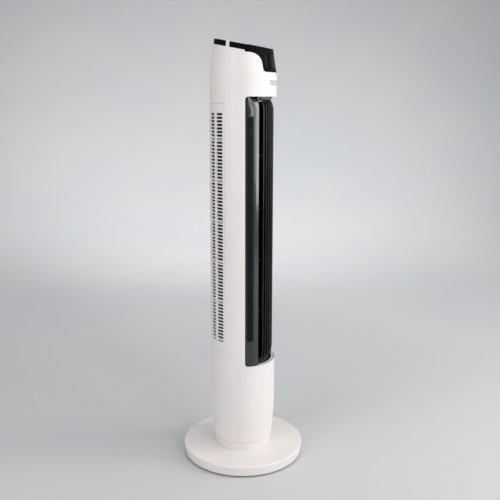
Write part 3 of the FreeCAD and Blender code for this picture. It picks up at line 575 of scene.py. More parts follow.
def head_border(start):
    """(bearing, z) points of the line between shell and cap, from bearing start round to -start."""
    def shoulder(bearing):
        return math.asin((drop_half_width + drop_flare) / radius_at(band_bottom(bearing)))

    corner = settle(1.0, shoulder)
    steps = 10
    half = [(angle, band_bottom(angle))
            for angle in (start + (corner - start) * step / steps for step in range(steps + 1))]
    half += [(math.asin(x / radius_at(z)), z) for x, z in drop_side()]
    return half + [(0.0, drop_bottom)] + [(-bearing, z) for bearing, z in reversed(half)]


# ---- materials ----
class Nodes:
    """Small helper that adds and joins shader nodes."""

    def __init__(self, name):
        self.material = bpy.data.materials.new(name)
        self.material.use_nodes = True
        self.tree = self.material.node_tree
        self.shader = self.tree.nodes["Principled BSDF"]
        self.place = self.add("ShaderNodeTexCoord").outputs["Object"]

    def add(self, kind, inputs=None, **settings):
        node = self.tree.nodes.new(kind)
        for key, value in settings.items():
            setattr(node, key, value)
        for key, value in (inputs or {}).items():
            self.put(node.inputs[key], value)
        return node

    def put(self, socket, value):
        if isinstance(value, bpy.types.NodeSocket):
            self.tree.links.new(value, socket)
        else:
            socket.default_value = value

    def maths(self, operation, first, second=0.0):
        return self.add("ShaderNodeMath", {0: first, 1: second}, operation=operation).outputs[0]

    def noise(self, scale, detail=2.0, rough=0.5, stretch=(1, 1, 1)):
        """Noise with features of about 1/scale metres."""
        moved = self.add("ShaderNodeMapping", {"Vector": self.place, "Scale": stretch})
        return self.add("ShaderNodeTexNoise", {"Vector": moved.outputs[0], "Scale": scale,
                                               "Detail": detail, "Roughness": rough}).outputs["Fac"]

    def ramp(self, value, low, high, to_low, to_high):
        made = self.add("ShaderNodeMapRange", {"Value": value, "From Min": low, "From Max": high,
                                               "To Min": to_low, "To Max": to_high})
        return made.outputs["Result"]

    def mix(self, factor, first, second):
        made = self.add("ShaderNodeMix", data_type="RGBA")
        self.put(made.inputs["Factor"], factor)
        self.put(made.inputs[6], (*first, 1))
        self.put(made.inputs[7], (*second, 1))
        return made.outputs[2]

    def bump(self, height, distance, strength=1.0, under=None):
        made = self.add("ShaderNodeBump", {"Height": height, "Distance": distance, "Strength": strength})
        if under is not None:
            self.put(made.inputs["Normal"], under)
        return made.outputs["Normal"]

    def set(self, **values):
        for key, value in values.items():
            self.put(self.shader.inputs[key.replace("_", " ")], value)


def shade(colour, factor):
    return tuple(min(1.0, c * factor) for c in colour)


def moulded(name, colour, roughness, grain=0.35 * MM, grain_depth=0.012 * MM, wander=0.03,
            specular=0.5, ior=1.5):
    """Injection-moulded plastic: faint flow shading, a fine spark-eroded grain and uneven gloss."""
    m = Nodes(name)
    flow = m.noise(7.0, 3.0, 0.55, (1, 1, 0.35))
    specks = m.noise(420.0, 2.0, 0.6)
    tone = m.maths("ADD", m.ramp(flow, 0.3, 0.7, 0.0, 0.8), m.ramp(specks, 0.35, 0.65, 0.0, 0.2))
    base = m.mix(tone, shade(colour, 1 - wander), shade(colour, 1 + wander))
    gloss = m.ramp(m.noise(38.0, 4.0, 0.6), 0.3, 0.7, roughness * 0.9, roughness * 1.1)
    fine = m.bump(m.noise(1 / grain, 2.0, 0.6), grain_depth, 0.8)
    normal = m.bump(m.noise(24.0, 1.0), 0.03 * MM, 0.5, fine)
    m.set(Base_Color=base, Roughness=gloss, Normal=normal, Specular_IOR_Level=specular, IOR=ior)
    return m.material


def polished(name, colour, roughness, coat, dust, specular, ior=1.5):
    """Polished black plastic: slight ripple, hairline rubs and a trace of dust."""
    m = Nodes(name)
    rubs = m.noise(90.0, 5.0, 0.7, (1, 1, 0.06))
    lint = m.ramp(m.noise(900.0, 1.0, 0.4), 0.72, 0.80, 0.0, dust)
    base = m.mix(lint, colour, (0.35, 0.34, 0.33))
    gloss = m.ramp(rubs, 0.45, 0.75, roughness, roughness * 1.6)
    normal = m.bump(m.noise(30.0, 2.0), 0.02 * MM, 0.6)
    m.set(Base_Color=base, Roughness=gloss, Normal=normal, Specular_IOR_Level=specular,
          Coat_Weight=coat, Coat_Roughness=0.07, IOR=ior)
    return m.material


def metal(name, colour, roughness, stretch=(1, 1, 1)):
    """Plated or bare metal with fine brushing and uneven tarnish."""
    m = Nodes(name)
    tarnish = m.noise(60.0, 4.0, 0.6)
    brushing = m.noise(1400.0, 3.0, 0.6, stretch)
    base = m.mix(m.ramp(tarnish, 0.3, 0.7, 0.0, 1.0), shade(colour, 0.85), shade(colour, 1.1))
    m.set(Base_Color=base, Roughness=m.ramp(tarnish, 0.3, 0.7, roughness * 0.8, roughness * 1.25),
          Normal=m.bump(brushing, 0.01 * MM, 0.7), Metallic=1.0)
    return m.material


def laminate(name, colour):
    """Circuit board: solder resist over a faint track pattern."""
    m = Nodes(name)
    tracks = m.add("ShaderNodeTexVoronoi", {"Vector": m.place, "Scale": 260.0}, distance="CHEBYCHEV")
    lines = m.ramp(tracks.outputs["Distance"], 0.05, 0.12, 1.0, 0.0)
    m.set(Base_Color=m.mix(lines, colour, shade(colour, 1.7)), Roughness=0.3,
          Normal=m.bump(lines, 0.03 * MM, 0.5))
    return m.material


def mesh_cloth(name, colour, pitch=1.1 * MM):
    """Fine square mesh: upright threads follow the bearing and level threads the height."""
    m = Nodes(name)
    parts = m.add("ShaderNodeSeparateXYZ", {0: m.place}).outputs
    bearing = m.maths("ARCTAN2", parts["X"], parts["Y"])
    turns = 2 * math.pi / pitch
    upright = m.maths("SINE", m.maths("MULTIPLY", bearing, turns * column_radius * MM))
    level = m.maths("SINE", m.maths("MULTIPLY", parts["Z"], turns))
    threads = m.maths("MAXIMUM", upright, level)
    m.set(Base_Color=m.mix(m.ramp(threads, 0.0, 0.9, 0.0, 1.0), shade(colour, 0.25), colour),
          Roughness=0.8, Normal=m.bump(threads, 0.2 * MM, 0.9))
    return m.material


finishes = {
    "white_shell": moulded("white_abs", (0.83, 0.785, 0.765), 0.40),
    "gloss_black": polished("gloss_black", (0.004, 0.004, 0.0045), 0.19, 0.4, 0.01, 0.65),
    "satin_black": moulded("satin_black", (0.005, 0.005, 0.005), 0.38, specular=0.45),
    "dark_window": polished("smoked_window", (0.003, 0.003, 0.004), 0.16, 0.0, 0.01, 0.4, 1.15),
    "key_grey": moulded("key_grey", (0.10, 0.10, 0.105), 0.5),
    "screen_mesh": mesh_cloth("dust_mesh", (0.045, 0.045, 0.045)),
    "rubber": moulded("foot_rubber", (0.03, 0.03, 0.03), 0.8, 0.6 * MM, 0.05 * MM),
    "plain_steel": metal("zinc_plate", (0.62, 0.63, 0.65), 0.32),
    "cast_weight": moulded("painted_ballast", (0.10, 0.10, 0.10), 0.7, 1.2 * MM, 0.2 * MM),
    "natural_plastic": moulded("acetal", (0.74, 0.73, 0.68), 0.35),
    "grey_plastic": moulded("grey_abs", (0.16, 0.165, 0.17), 0.5),
    "motor_steel": metal("galvanised", (0.50, 0.51, 0.53), 0.42),
    "copper": metal("enamelled_copper", (0.62, 0.30, 0.15), 0.3, (1, 1, 20)),
    "bronze": metal("sintered_bronze", (0.55, 0.40, 0.20), 0.45),
    "board_green": laminate("solder_resist", (0.02, 0.12, 0.05)),
    "part_black": moulded("component_plastic", (0.03, 0.03, 0.032), 0.5),
}
ink_light = moulded("pad_print", (0.62, 0.62, 0.62), 0.55, 0.2 * MM, 0.006 * MM, 0.08)
ink_grey = moulded("pad_print", (0.10, 0.10, 0.105), 0.55, 0.2 * MM, 0.006 * MM, 0.08)
fin_black = polished("fin_black", (0.004, 0.004, 0.0045), 0.24, 0.3, 0.03, 0.7)
cap_black = moulded("cap_black", (0.004, 0.004, 0.004), 0.5, specular=0.3, ior=1.15)
slots = {row["node"]: row["material_slot"] for row in frame["record"]["subparts"]}


def dress_frame():
    """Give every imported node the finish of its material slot."""
    for name, node in frame["nodes"].items():
        node.data.materials.clear()
        node.data.materials.append(finishes[slots[name]])


# ---- base ----
def make_base_cover():
    """Round cover with a rim that leans in towards its foot, open underneath."""
    top, outer = high_of("base_cover").z, high_of("base_cover").x
    bottom = low_of("base_cover").z
    ceiling = top - cover_wall
    cover = Solid()
    outside = [(outer - cover_flare, bottom, cover_foot_round), (outer, top, cover_top_round)]
    inside = [(cover_hole, top, crisp), (cover_hole, ceiling, 0),
              (outer - cover_inside_top, ceiling, inside_round), (outer - cover_inside_foot, bottom, crisp)]
    spin(cover, outside + inside, count=360)
    make_piece("base_cover_shell", cover, "base", slots["base_cover"], "base_cover")


def make_base_collar():
    """Round cup that carries on the column's taper down to the base."""
    bottom, top = low_of("base_collar").z, high_of("base_collar").z
    steps = 8
    skin = []
    for step in range(steps + 1):
        z = bottom + (top - bottom) * step / steps
        skin.append((radius_at(z), z, SMOOTH if 0 < step < steps else collar_round))
    deck, floor, wall = top - collar_deck, bottom + collar_wall, radius_at(bottom) - collar_wall
    inside = [(collar_hole, top, 0.2), (collar_hole, deck, 0.2), (wall, deck, inside_round),
              (wall, floor, inside_round), (collar_flange, floor, crisp), (collar_flange, bottom, crisp)]
    collar = Solid()
    spin(collar, skin + inside, count=300)
    make_piece("base_collar_cup", collar, "base", slots["base_collar"], "base_collar")


# ---- shells ----
def along_y(x, start, z):
    """Frame whose Z runs along +Y, for turned shapes that point back."""
    return Matrix.Translation((x, start, z)) @ Matrix.Rotation(-math.pi / 2, 4, "X")


def add_bosses(solid, start):
    """Screw bosses beside the seam, each tied to the wall by a web."""
    tube = [(boss_bore, 0, crisp), (boss_radius, 0, collar_round),
            (boss_radius, boss_length, collar_round), (boss_bore, boss_length, crisp)]
    front, back = start + boss_web_margin, start + boss_length - boss_web_margin
    for side in (-1, 1):
        near, far = sorted((side * (boss_x + boss_web_gap), side * boss_web_reach))
        web = outline(rectangle(near, far, front, back), 20)
        for z in boss_heights:
            spin(solid, tube, count=28, where=along_y(side * boss_x, start, z))
            thicken(solid, [web], [], level_sheet(z + boss_web_thickness / 2), boss_web_thickness,
                    front=0.2, back=0.2, steps=1)


def ring_sector(inner, outer, half):
    """Outline, seen from above, of a level ring sector at the front of the column."""
    steps = 24
    bearings = [half * (2 * step / steps - 1) for step in range(steps + 1)]
    rim = [outward(bearing).xy * outer for bearing in bearings]
    return rim + [outward(bearing).xy * inner for bearing in reversed(bearings)]


def make_front_shell():
    """Front half of the column, with the mouth's opening and its two white sills."""
    half = math.pi / 2
    top = [unrolled(bearing, z) for bearing, z in head_border(half)]
    foot = [unrolled(-half, column_bottom), unrolled(half, column_bottom)]
    border = sharp_outline(foot + top)
    window = outline(rectangle(-opening_half * column_radius, opening_half * column_radius,
                               opening_bottom, opening_top, opening_corner))
    shell = Solid()
    thicken(shell, [border, window],
            grid(-half * column_radius, half * column_radius, column_bottom, top_centre,
                 shell_across, shell_tall), on_column, shell_wall, seam_round)
    for z in (opening_bottom, opening_top + sheet_thickness):
        plate(shell, ring_sector(sill_inner, sill_outer, sill_half), z, sheet_thickness)
    add_bosses(shell, front_boss_start)
    make_piece("front_shell", shell, "column", slots["front_housing"], "front_housing")


def make_rear_shell():
    """Back half of the column, with the light bridge that crosses between the black caps."""
    right_angle = math.pi / 2
    steps = 90
    top = []
    for step in range(steps + 1):
        bearing = 3 * right_angle - 2 * right_angle * step / steps
        top.append(unrolled(bearing, band_bottom(bearing)))
    foot = [unrolled(right_angle, column_bottom), unrolled(3 * right_angle, column_bottom)]
    reach = (grille_half + grille_side_gap) * column_radius
    middle = math.pi * column_radius
    window = rectangle(middle - reach, middle + reach, low_of("rear_grille").z - grille_gap,
                       high_of("rear_grille").z + grille_gap, 0.5)
    gland = circle(middle, gland_height, gland_seat_radius, 40)
    front_cut, front_bearing = cut_line(bridge_front)
    back_cut, back_bearing = cut_line(bridge_back)

    def shell_round(flat):
        aside = math.pi - abs(flat.x / column_radius - math.pi)
        joins = flat.y > head_base and front_bearing < aside < back_bearing
        return 0.0 if joins else seam_round

    shell = Solid()
    thicken(shell, [sharp_outline(foot + top), outline(window), sharp_outline(gland)],
            grid(right_angle * column_radius, 3 * right_angle * column_radius, column_bottom, top_centre,
                 shell_across, shell_tall), on_column, shell_wall, shell_round)
    bridge = sharp_outline(front_cut + back_cut[::-1], fine_side)
    foot_x = min(abs(front_cut[0].x), abs(back_cut[0].x)) - bridge_foot
    thicken(shell, [bridge], [], on_head, cap_wall,
            lambda flat: 0.0 if abs(flat.x) > foot_x else bridge_round)
    add_bosses(shell, rear_boss_start)
    make_piece("rear_shell", shell, "column", slots["rear_housing"], "rear_housing")


# ---- rear panel ----
def make_rear_grille():
    """Slotted rear panel with a level groove near its top and ribs behind."""
    low, high = low_of("rear_grille").z, high_of("rear_grille").z
    middle = math.pi * column_radius
    half = grille_half * column_radius
    groove = high - groove_below_top
    panel = Solid()

    def grooved(flat, depth):
        near = max(0.0, 1 - abs(flat.y - groove) / groove_half)
        return on_column(flat, depth + groove_depth * near * (3 - 2 * near) * near)

    def add_rib(left, right, bottom, top, longest):
        thicken(panel, [outline(rectangle(left, right, bottom, top), longest)], [],
                on_round(column_radius - shell_wall), rib_height, front=0.0, back=crisp, steps=1)

    groove_rows = [groove + groove_half * (step / 4 - 1) for step in range(9)]
    corners = [(middle - half, low, grille_corner), (middle + half, low, grille_corner)]
    corners += [(middle + half, z, 0) for z in groove_rows]
    corners += [(middle + half, high, grille_corner), (middle - half, high, grille_corner)]
    corners += [(middle - half, z, 0) for z in reversed(groove_rows)]
    columns = [(column - (slot_columns - 1) / 2) * slot_column_pitch * column_radius + middle
               for column in range(slot_columns)]
    slot_half = slot_width * column_radius / 2
    slots_cut = []
    for row in range(slot_rows):
        z = first_slot - slot_pitch * row
        for x in columns:
            slot = rectangle(x - slot_half, x + slot_half,
                             z - slot_height / 2, z + slot_height / 2, slot_round)
            slots_cut.append(outline(slot, slot_side, fine_turn))
    across = [middle - half + groove_side * step for step in range(1, int(2 * half / groove_side))]
    inside = [Vector((x, z)) for z in groove_rows for x in across]
    inside += grid(middle - half, middle + half, low, low + grille_fine_end, 4.0, 10.0)
    thicken(panel, [outline(corners)] + slots_cut, inside, grooved, shell_wall, grille_round, steps=2)
    for x in (column + slot_column_pitch * column_radius / 2 for column in columns[:-1]):
        add_rib(x - rib_half, x + rib_half, low + rib_margin, high - rib_margin, 30)
    for row in range(ring_rib_first, slot_rows, ring_rib_rows):
        z = first_slot - slot_pitch * row
        add_rib(middle - half + rib_margin, middle + half - rib_margin, z - rib_half, z + rib_half, 4.0)
    make_piece("rear_grille_panel", panel, "rear_panel", slots["rear_grille"], "rear_grille")


# ---- outlet ----
class Track:
    """A curve seen from above, with places and normals by the distance along it."""

    def __init__(self, corners, turn_step):
        entries = profile(corners, turn_step)
        self.spots = []
        self.reach = []
        for spot, normal in entries:
            if self.spots and (spot - self.spots[-1][0]).length < 0.001:
                continue
            self.reach.append(self.reach[-1] + (spot - self.spots[-1][0]).length if self.spots else 0.0)
            self.spots.append((spot, normal))

    def cut(self, count):
        """Keep only the first points; a profile always closes on itself."""
        self.spots, self.reach = self.spots[:count], self.reach[:count]

    def at(self, distance):
        index = 1
        while index < len(self.reach) - 1 and self.reach[index] < distance:
            index += 1
        start, end = self.reach[index - 1], self.reach[index]
        share = min(1.0, max(0.0, (distance - start) / (end - start)))
        (before, first), (after, second) = self.spots[index - 1], self.spots[index]
        return before.lerp(after, share), first.lerp(second, share).normalized()


def insert_track():
    """From the insert's outer edge along the round, across the flat panel and into the mouth, at +X."""
    start = opening_half - opening_side_gap
    steps = 12
    corners = []
    for step in range(steps + 1):
        spot = outward(start + (insert_blend - start) * step / steps) * insert_radius
        corners.append(Vector((spot.x, -spot.y)))
    mouth = Vector((mouth_edge_x, -mouth_edge_y))
    bend = outward(insert_bend) * insert_radius
    landing = Vector((bend.x, -bend.y)).lerp(mouth, insert_landing)
    leaving, panel = (corners[-1] - corners[-2]).normalized(), (landing - mouth).normalized()
    gap = landing - corners[-1]
    rise, run = gap.x * panel.y - gap.y * panel.x, leaving.x * panel.y - leaving.y * panel.x
    first, knee = corners[-1], corners[-1] + leaving * rise / run
    for step in range(1, 11):
        share = step / 10
        corners.append(first.lerp(knee, share).lerp(knee.lerp(landing, share), share))
    corners = [(*spot, SMOOTH) for spot in corners]
    corners += [(*mouth, mouth_round), (mouth_edge_x, -mouth_back_y, 0)]
    # In this flipped view (y towards the air) the outline runs anticlockwise back round the axis.
    track = Track(corners + [(0.0, 0.0, 0)], math.radians(12))
    last = next(index for index, (spot, _) in enumerate(track.spots)
                if spot.y <= -mouth_back_y + 0.001 and spot.x < mouth_edge_x + 0.001)
    track.cut(last + 1)
    edge = track.spots[0][0]
    track.spots[0] = (edge, edge.normalized())      # round there, so it faces away from the axis
    return track


def on_insert(track, side, top):
    """The insert's surface on one side; near its top end it leans back, square to the flat panel."""
    bend = outward(insert_bend) * insert_radius
    back = -outward(side * math.atan2(bend.y - mouth_edge_y, bend.x - mouth_edge_x))
    run = (opening_half - opening_side_gap - insert_bend) * insert_radius - insert_pull_start

    def place(flat, depth):
        spot, normal = track.at(-side * flat.x)
        out = Vector((side * normal.x, -normal.y, 0)).normalized()
        onward = Vector((side * out.y, -side * out.x, 0))
        share = min(1.0, max(0.0, (-side * flat.x - insert_pull_start) / run))
        weight = share * share * (3 - 2 * share)
        weight_slope = 6 * share * (1 - share) / run
        near_top = max(0.0, 1 - (top - flat.y) / insert_top_length)
        pull = insert_top_pull * near_top * near_top
        pull_slope = 2 * insert_top_pull * near_top / insert_top_length
        across = onward + back * weight_slope * pull
        upward = UP + back * weight * pull_slope
        tilted = (across.cross(upward) * -side).normalized()
        here = Vector((side * spot.x, -spot.y, flat.y)) + back * weight * pull
        return here - tilted * depth, tilted
    return place


def make_outlet_surround():
    """Gloss insert round the mouth: a wing on each side, tied by shelves and bars at both ends."""
    low, high = opening_bottom + opening_gap, opening_top - opening_gap
    track = insert_track()
    length = track.reach[-1]
    start = opening_half - opening_side_gap
    strip_near = (start - strip_to) * insert_radius - strip_gap
    strip_far = (start - strip_from) * insert_radius + strip_gap
    strip_low = low_of("side_grille_left").z - strip_gap
    strip_high = high_of("side_grille_left").z + strip_gap
    heights = [low + (high - low) * step / 64 for step in range(1, 64)]
    surround = Solid()
    for side in (-1, 1):
        border = outline([(0.0, low, opening_corner), (-side * length, low, 0),
                          (-side * length, high, 0), (0.0, high, opening_corner)], fine_side)
        hole = outline(rectangle(-side * strip_near, -side * strip_far, strip_low, strip_high), fine_side)
        inside = [Vector((-side * distance, z)) for distance in track.reach[1:-1] for z in heights]
        thicken(surround, [border, hole], inside, on_insert(track, side, high), insert_wall,
                insert_edge_round)
    shelf_half = math.atan2(mouth_edge_x + shelf_reach, -mouth_edge_y)
    for top, outer in ((low + sheet_thickness, foot_shelf_outer), (high, shelf_outer)):
        plate(surround, ring_sector(shelf_inner, outer, shelf_half), top, sheet_thickness)
    bar = bowed(mouth_edge_x + mouth_bar_reach, mouth_bar_side, mouth_bar_middle, mouth_bar_depth)
    for top in (low + mouth_bar_height, high):
        plate(surround, bar, top, mouth_bar_height, mouth_bar_round)
    make_piece("outlet_insert", surround, "column", slots["outlet_surround"], "outlet_surround")


def bowed(half, side_y, middle_y, depth):
    """Outline, seen from above, of a bar that bows forward between two sides."""
    steps = 24
    xs = [half * (2 * step / steps - 1) for step in range(steps + 1)]
    front = [Vector((x, middle_y + (side_y - middle_y) * (x / half) ** 2)) for x in xs]
    return front + [spot + Vector((0, depth)) for spot in reversed(front)]


def make_side_strip(name, side):
    """Strip of fine level slots beside the mouth."""
    low, high = low_of(name).z, high_of(name).z
    left, right = sorted((side * strip_from * column_radius, side * strip_to * column_radius))
    margin = strip_margin * column_radius
    rows = int((high - low - strip_end_margin) / strip_slot_pitch)
    first = (high + low) / 2 - strip_slot_pitch * (rows - 1) / 2
    loops = [outline(rectangle(left, right, low, high))]
    for z in (first + strip_slot_pitch * row for row in range(rows)):
        slot = rectangle(left + margin, right - margin, z - strip_slot_height / 2,
                         z + strip_slot_height / 2, strip_slot_round)
        loops.append(outline(slot, 4.0, fine_turn))
    strip = Solid()
    thicken(strip, loops, [], on_round(insert_radius - strip_sunk), strip_wall, insert_edge_round, steps=2)
    make_piece(name + "_strip", strip, "column", slots[name], name)


def make_fins():
    """Upright fins with rounded noses and curved ends, tied by thin bowed bars."""
    low, high = low_of("outlet_grille").z, high_of("outlet_grille").z
    depth = fin_front - fin_end
    curve = [(fin_end + depth * sine, fin_end_length * (1 - cosine)) for sine, cosine in quarter(12)]
    spots = [(fin_back, low)] + [(radius, low + rise) for radius, rise in curve]
    spots += [(radius, high - rise) for radius, rise in reversed(curve)] + [(fin_back, high)]
    side_view = sharp_outline(spots, 12.0)
    fins = Solid()
    for index in range(fin_count):
        out = outward(fin_pitch * (index - (fin_count - 1) / 2))
        across = out.cross(UP)

        def place(flat, sunk, out=out, across=across):
            return out * flat.x + UP * flat.y + across * (fin_thickness / 2 - sunk), across

        thicken(fins, [side_view], [], place, fin_thickness, fin_round, fin_round)
    bar = bowed(fin_bar_half, fin_bar_side, fin_bar_middle, fin_bar_depth)
    room = high - low - 2 * fin_bar_margin - fin_bar_height
    for index in range(fin_bar_count):
        bottom = low + fin_bar_margin + room * index / (fin_bar_count - 1)
        plate(fins, bar, bottom + fin_bar_height, fin_bar_height)
    make_piece("outlet_fins", fins, "column", slots["outlet_grille"], "outlet_grille", finish=fin_black)


# ---- head ----
def head_points():
    """Points that carry the head's rounded rim, skin and top through a mesh."""
    made = []
    count, skin_step, skin_reach = 180, 4, 76
    top_half, top_step, top_radius = 66, 8, 64
    for step in range(count):
        bearing = 2 * math.pi * step / count
        rim = rim_radius(bearing)
        reach = [rim + rim_round * share for share in (-1.0, -0.7, -0.4, 0.0, 0.4, 0.7, 1.0)]
        reach += [rim + drop for drop in range(skin_step, skin_reach, skin_step)]
        made += [outward(bearing).xy * length for length in reach]
    top = grid(-top_half, top_half, -top_half, top_half, top_step, top_step)
    return made + [spot for spot in top if spot.length < top_radius]


def on_panel(x, y):
    """A point of the sloping top seen from above."""
    return Vector((x, y * math.cos(top_angle)))


def key_places():
    """The keys' names with their places across the head."""
    boxes = [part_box(name + "_button") for name in key_names]
    return [(name, (low.x + high.x) / 2 / MM) for name, (low, high) in zip(key_names, boxes)]


def window_outline(inset):
    corners = rectangle(-window_half_width + inset, window_half_width - inset,
                        window_low + inset, window_high - inset, window_round)
    return [opened(math.asin(spot.x / radius_at(spot.y)), spot.y) for spot in outline(corners, fine_side)]


def make_control_cap():
    """Black head in front of the light bridge, with its drop, window opening and key holes."""
    line, bearing = cut_line(bridge_front)
    lower = [opened(angle, z) for angle, z in head_border(bearing)]
    border = sharp_outline(line + lower[::-1][1:-1], fine_side)
    holes = [[on_panel(*spot) for spot in circle(x, key_row, key_radius + key_gap)]
             for _, x in key_places()]
    cap = Solid()
    thicken(cap, [border, window_outline(0.0)] + holes, head_points(), on_head, cap_wall, cap_front_round)
    make_piece("control_cap_shell", cap, "column", slots["control_cap"], "control_cap", finish=cap_black)


def make_rear_cap():
    """Black plate behind the light bridge, open over the carry pocket."""
    line, bearing = cut_line(bridge_back)
    steps = 70
    lower = []
    for step in range(1, steps):
        angle = bearing + 2 * (math.pi - bearing) * step / steps
        lower.append(opened(angle, band_bottom(angle)))
    border = sharp_outline(line + lower[::-1], fine_side)
    pocket = rectangle(-grip_half_width - grip_gap, grip_half_width + grip_gap, grip_front, grip_back,
                       (grip_back - grip_front) / 2)
    grip = [on_panel(*spot) for spot in outline(pocket, 3.0)]
    cap = Solid()
    thicken(cap, [border, grip], head_points(), on_head, cap_wall, cap_rear_round)
    make_piece("rear_cap_shell", cap, "column", slots["rear_cap"], "rear_cap", finish=cap_black)


def make_window():
    window = Solid()
    thicken(window, [window_outline(window_gap)], head_points(), on_head, window_wall, crisp)
    make_piece("display_lens", window, "column", slots["display_window"], "display_window")


def key_dish(distance):
    """Height of a key's hollowed top over the panel."""
    return key_dish_depth + key_dish_curve * distance ** 2


def stroke(spots, width):
    """Outline of a line of even width through the spots."""
    spots = [Vector(spot) for spot in spots]
    left, right = [], []
    for index, here in enumerate(spots):
        ahead = spots[min(index + 1, len(spots) - 1)] - spots[max(index - 1, 0)]
        aside = Vector((-ahead.y, ahead.x)).normalized() * width / 2
        left.append(here + aside)
        right.append(here - aside)
    return left + right[::-1]


def wave(half, height, rise, waves=1.5, steps=36):
    return [(half * (2 * step / steps - 1), rise + height * math.sin(2 * math.pi * waves * step / steps))
            for step in range(steps + 1)]


def bow(radius, start, end, steps=30):
    angles = [math.radians(start + (end - start) * step / steps) for step in range(steps + 1)]
    return [(radius * math.cos(angle), radius * math.sin(angle)) for angle in angles]


def icons():
    """Plain printed signs of the keys, as lists of outlines within 3 mm of the middle."""
    def lines(*paths, width=sign_line):
        return [[stroke(path, width)] for path in paths]

    ring = [[Vector(spot) for spot in circle(0, 0, radius)] for radius in (2.6, 2.05)]
    rising = [[(x, -1.9), (x, -0.7 + 1.1 * index)] for index, x in enumerate((-1.9, 0, 1.9))]
    return {
        "power": lines(bow(2.3, 125, 415), [(0, 0.4), (0, 2.9)]),
        "speed": lines(*rising, width=0.9),
        "mode": lines(*[wave(2.7, 0.55, rise) for rise in (-1.4, 0, 1.4)]),
        "timer": [ring] + lines([(0, 0), (0, 1.6)], [(-0.2, 0), (1.1, 0)]),
        "swing": lines([(-2.4, 0), (2.4, 0)], [(-1.5, 1.1), (-2.6, 0), (-1.5, -1.1)],
                       [(1.5, 1.1), (2.6, 0), (1.5, -1.1)]),
    }


def key_profile():
    """(radius, height, round) corners of a key, from the foot of its stem up to its hollowed top."""
    stem = [(0, key_stem_bottom, 0), (key_stem_radius, key_stem_bottom, crisp),
            (key_stem_radius, key_flange_bottom, 0)]
    flange = [(key_flange_radius, key_flange_bottom, 0.2), (key_flange_radius, key_flange_top, 0.2),
              (key_radius, key_flange_top, 0)]
    crown = [(key_radius, key_crown, 0.5), (key_dish_radius, key_crown, 0.2)]
    crown += [(radius, key_dish(radius), SMOOTH) for radius in (5.0, 4.0, 3.0, 2.0, 1.0)]
    return stem + flange + crown + [(0, key_dish(0), 0)]


def make_keys():
    """Five round keys on the sloping top, each with its printed sign."""
    signs = icons()
    panel = Matrix.Translation((0, 0, top_centre)) @ Matrix.Rotation(top_angle, 4, "X")
    for name, x in key_places():
        where = panel @ Matrix.Translation((x, key_row, 0))
        key = Solid()
        spin(key, key_profile(), count=72, where=where)
        node = name + "_button"
        make_piece(name + "_key_cap", key, name + "_key", slots[node], node)

        def place(flat, depth, where=where):
            point = Vector((flat.x, flat.y, key_dish(flat.length) + sign_lift - depth))
            return where @ point, panel_normal

        sign = Solid()
        for outlines in signs[name]:
            thicken(sign, outlines, [], place, sign_thickness, front=0.0)
        make_piece(name + "_key_sign", sign, name + "_key", slots[node], finish=ink_light)


def make_airflow_mark():
    """Three plain waves printed on the front, in place of any name."""
    def place(flat, depth):
        return on_column(flat, depth, mark_proud)

    mark = Solid()
    for rise in mark_rows:
        line = stroke(wave(mark_half, mark_wave, rise, 2.0, 72), mark_line)
        raised = [Vector((spot.x, spot.y + mark_height)) for spot in line]
        thicken(mark, [raised], [], place, mark_thickness, front=0.0)
    make_piece("airflow_mark", mark, "column", slots["front_housing"], finish=ink_grey)


dress_frame()
make_base_cover()
make_base_collar()
make_front_shell()
make_rear_shell()
make_rear_grille()
make_outlet_surround()
make_side_strip("side_grille_left", 1)
make_side_strip("side_grille_right", -1)
make_fins()
make_control_cap()
make_rear_cap()
make_window()
make_keys()
make_airflow_mark()


# ---- stage, camera and light ----
def sweep_backdrop():
    """A round studio sweep: a flat pale floor that curves up into a wall all round."""
    floor_radius, bend, wall_top = 2.2, 2.8, 5.5
    line = [(radius, 0.0) for radius in (0.4, 0.8, 1.6)]
    line += [(floor_radius + bend * sine, bend * (1 - cosine)) for sine, cosine in quarter(24)]
    line.append((floor_radius + bend, wall_top))
    count = 96
    points = [Vector((0, 0, 0))]
    for radius, height in line:
        points += [outward(2 * math.pi * index / count) * radius + UP * height for index in range(count)]
    faces = [(0, 1 + index, 1 + (index + 1) % count) for index in range(count)]
    for row in range(len(line) - 1):
        low, high = 1 + row * count, 1 + (row + 1) * count
        for index in range(count):
            after = (index + 1) % count
            faces.append((low + index, high + index, high + after, low + after))
    mesh = bpy.data.meshes.new("studio_sweep")
    mesh.from_pydata(points, [], faces)
    mesh.shade_smooth()
    m = Nodes("sweep_paper")
    tone = m.mix(m.ramp(m.noise(1.2, 3.0), 0.3, 0.7, 0, 1), (0.60, 0.61, 0.62), (0.63, 0.635, 0.64))
    m.set(Base_Color=tone, Roughness=0.9, Normal=m.bump(m.noise(700.0, 2.0), 0.05 * MM, 0.3))
    mesh.materials.append(m.material)
    link("studio_sweep", mesh)


def aim(made, location, direction):
    """Place a camera or light so that it looks along a direction."""
    made.location = location
    made.rotation_mode = "QUATERNION"
    made.rotation_quaternion = direction.to_track_quat("-Z", "Y")


def camera():
    """The photo's camera, worked out from the base's outline and the slots' even steps."""
    distance, height, pitch, bearing = 1.677, 0.8946, math.radians(10.64), math.radians(-67.5)
    data = bpy.data.cameras.new("camera")
    data.lens = 49.8
    data.sensor_width = 36.0
    data.shift_x = 0.0142
    data.shift_y = -0.040
    made = link("camera", data)
    aim(made, outward(bearing) * distance + UP * height,
        -outward(bearing) * math.cos(pitch) - UP * math.sin(pitch))
    bpy.context.scene.camera = made


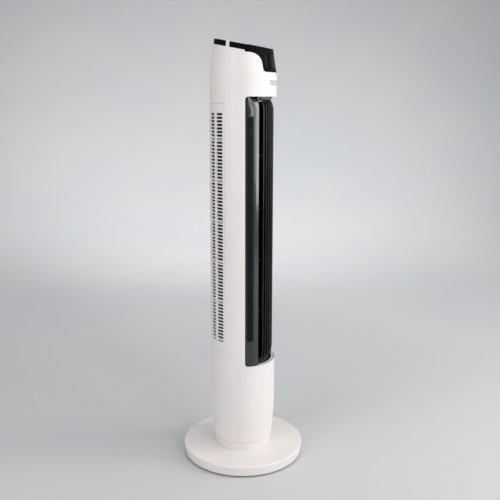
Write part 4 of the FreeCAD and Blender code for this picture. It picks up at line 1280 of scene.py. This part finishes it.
def softbox(name, bearing_deg, distance, height, width, tall, power, aim_height=0.5):
    """Area light on the given bearing round the column, turned to face it."""
    data = bpy.data.lights.new(name, "AREA")
    data.shape = "RECTANGLE"
    data.size = width
    data.size_y = tall
    data.energy = power
    made = link(name, data)
    location = outward(math.radians(bearing_deg)) * distance + UP * height
    aim(made, location, UP * aim_height - location)
    made.visible_camera = False


def glow(name, bearing_deg, distance, height, aim_distance, aim_height, cone_deg, power):
    """Soft round pool of light on the sweep behind the column."""
    data = bpy.data.lights.new(name, "SPOT")
    data.energy = power
    data.spot_size = math.radians(cone_deg)
    data.spot_blend = 1.0
    data.shadow_soft_size = 0.3
    made = link(name, data)
    behind = outward(math.radians(bearing_deg))
    location = behind * distance + UP * height
    aim(made, location, behind * aim_distance + UP * aim_height - location)
    made.visible_camera = False


def lights():
    """Softboxes round the column, two pools of light behind it and an even sky."""
    softbox("key", bearing_deg=-3, distance=2.3, height=1.3, width=1.3, tall=1.9, power=19.5)
    softbox("strip_right", bearing_deg=20.5, distance=2.2, height=1.15, width=0.55, tall=1.8, power=18)
    softbox("strip_left", bearing_deg=-34, distance=2.3, height=1.2, width=0.5, tall=1.7, power=11)
    softbox("side", bearing_deg=60, distance=2.6, height=1.5, width=1.2, tall=1.9, power=5)
    softbox("fill", bearing_deg=-110, distance=2.6, height=1.4, width=1.6, tall=2.0, power=26.5)
    softbox("top", bearing_deg=0, distance=0.01, height=3.4, width=2.5, tall=2.5, power=16)
    glow("wall_glow", bearing_deg=114, distance=0.7, height=2.4, aim_distance=3.9, aim_height=0.6,
         cone_deg=95, power=225)
    glow("floor_glow", bearing_deg=114, distance=1.0, height=3.0, aim_distance=2.8, aim_height=0.0,
         cone_deg=90, power=100)
    world = bpy.data.worlds.new("studio")
    world.use_nodes = True
    sky = world.node_tree.nodes["Background"].inputs
    sky["Color"].default_value = (0.95, 0.98, 1.0, 1)
    sky["Strength"].default_value = 0.45
    bpy.context.scene.world = world


sweep_backdrop()
camera()
lights()
bpy.context.scene.view_settings.view_transform = "Standard"
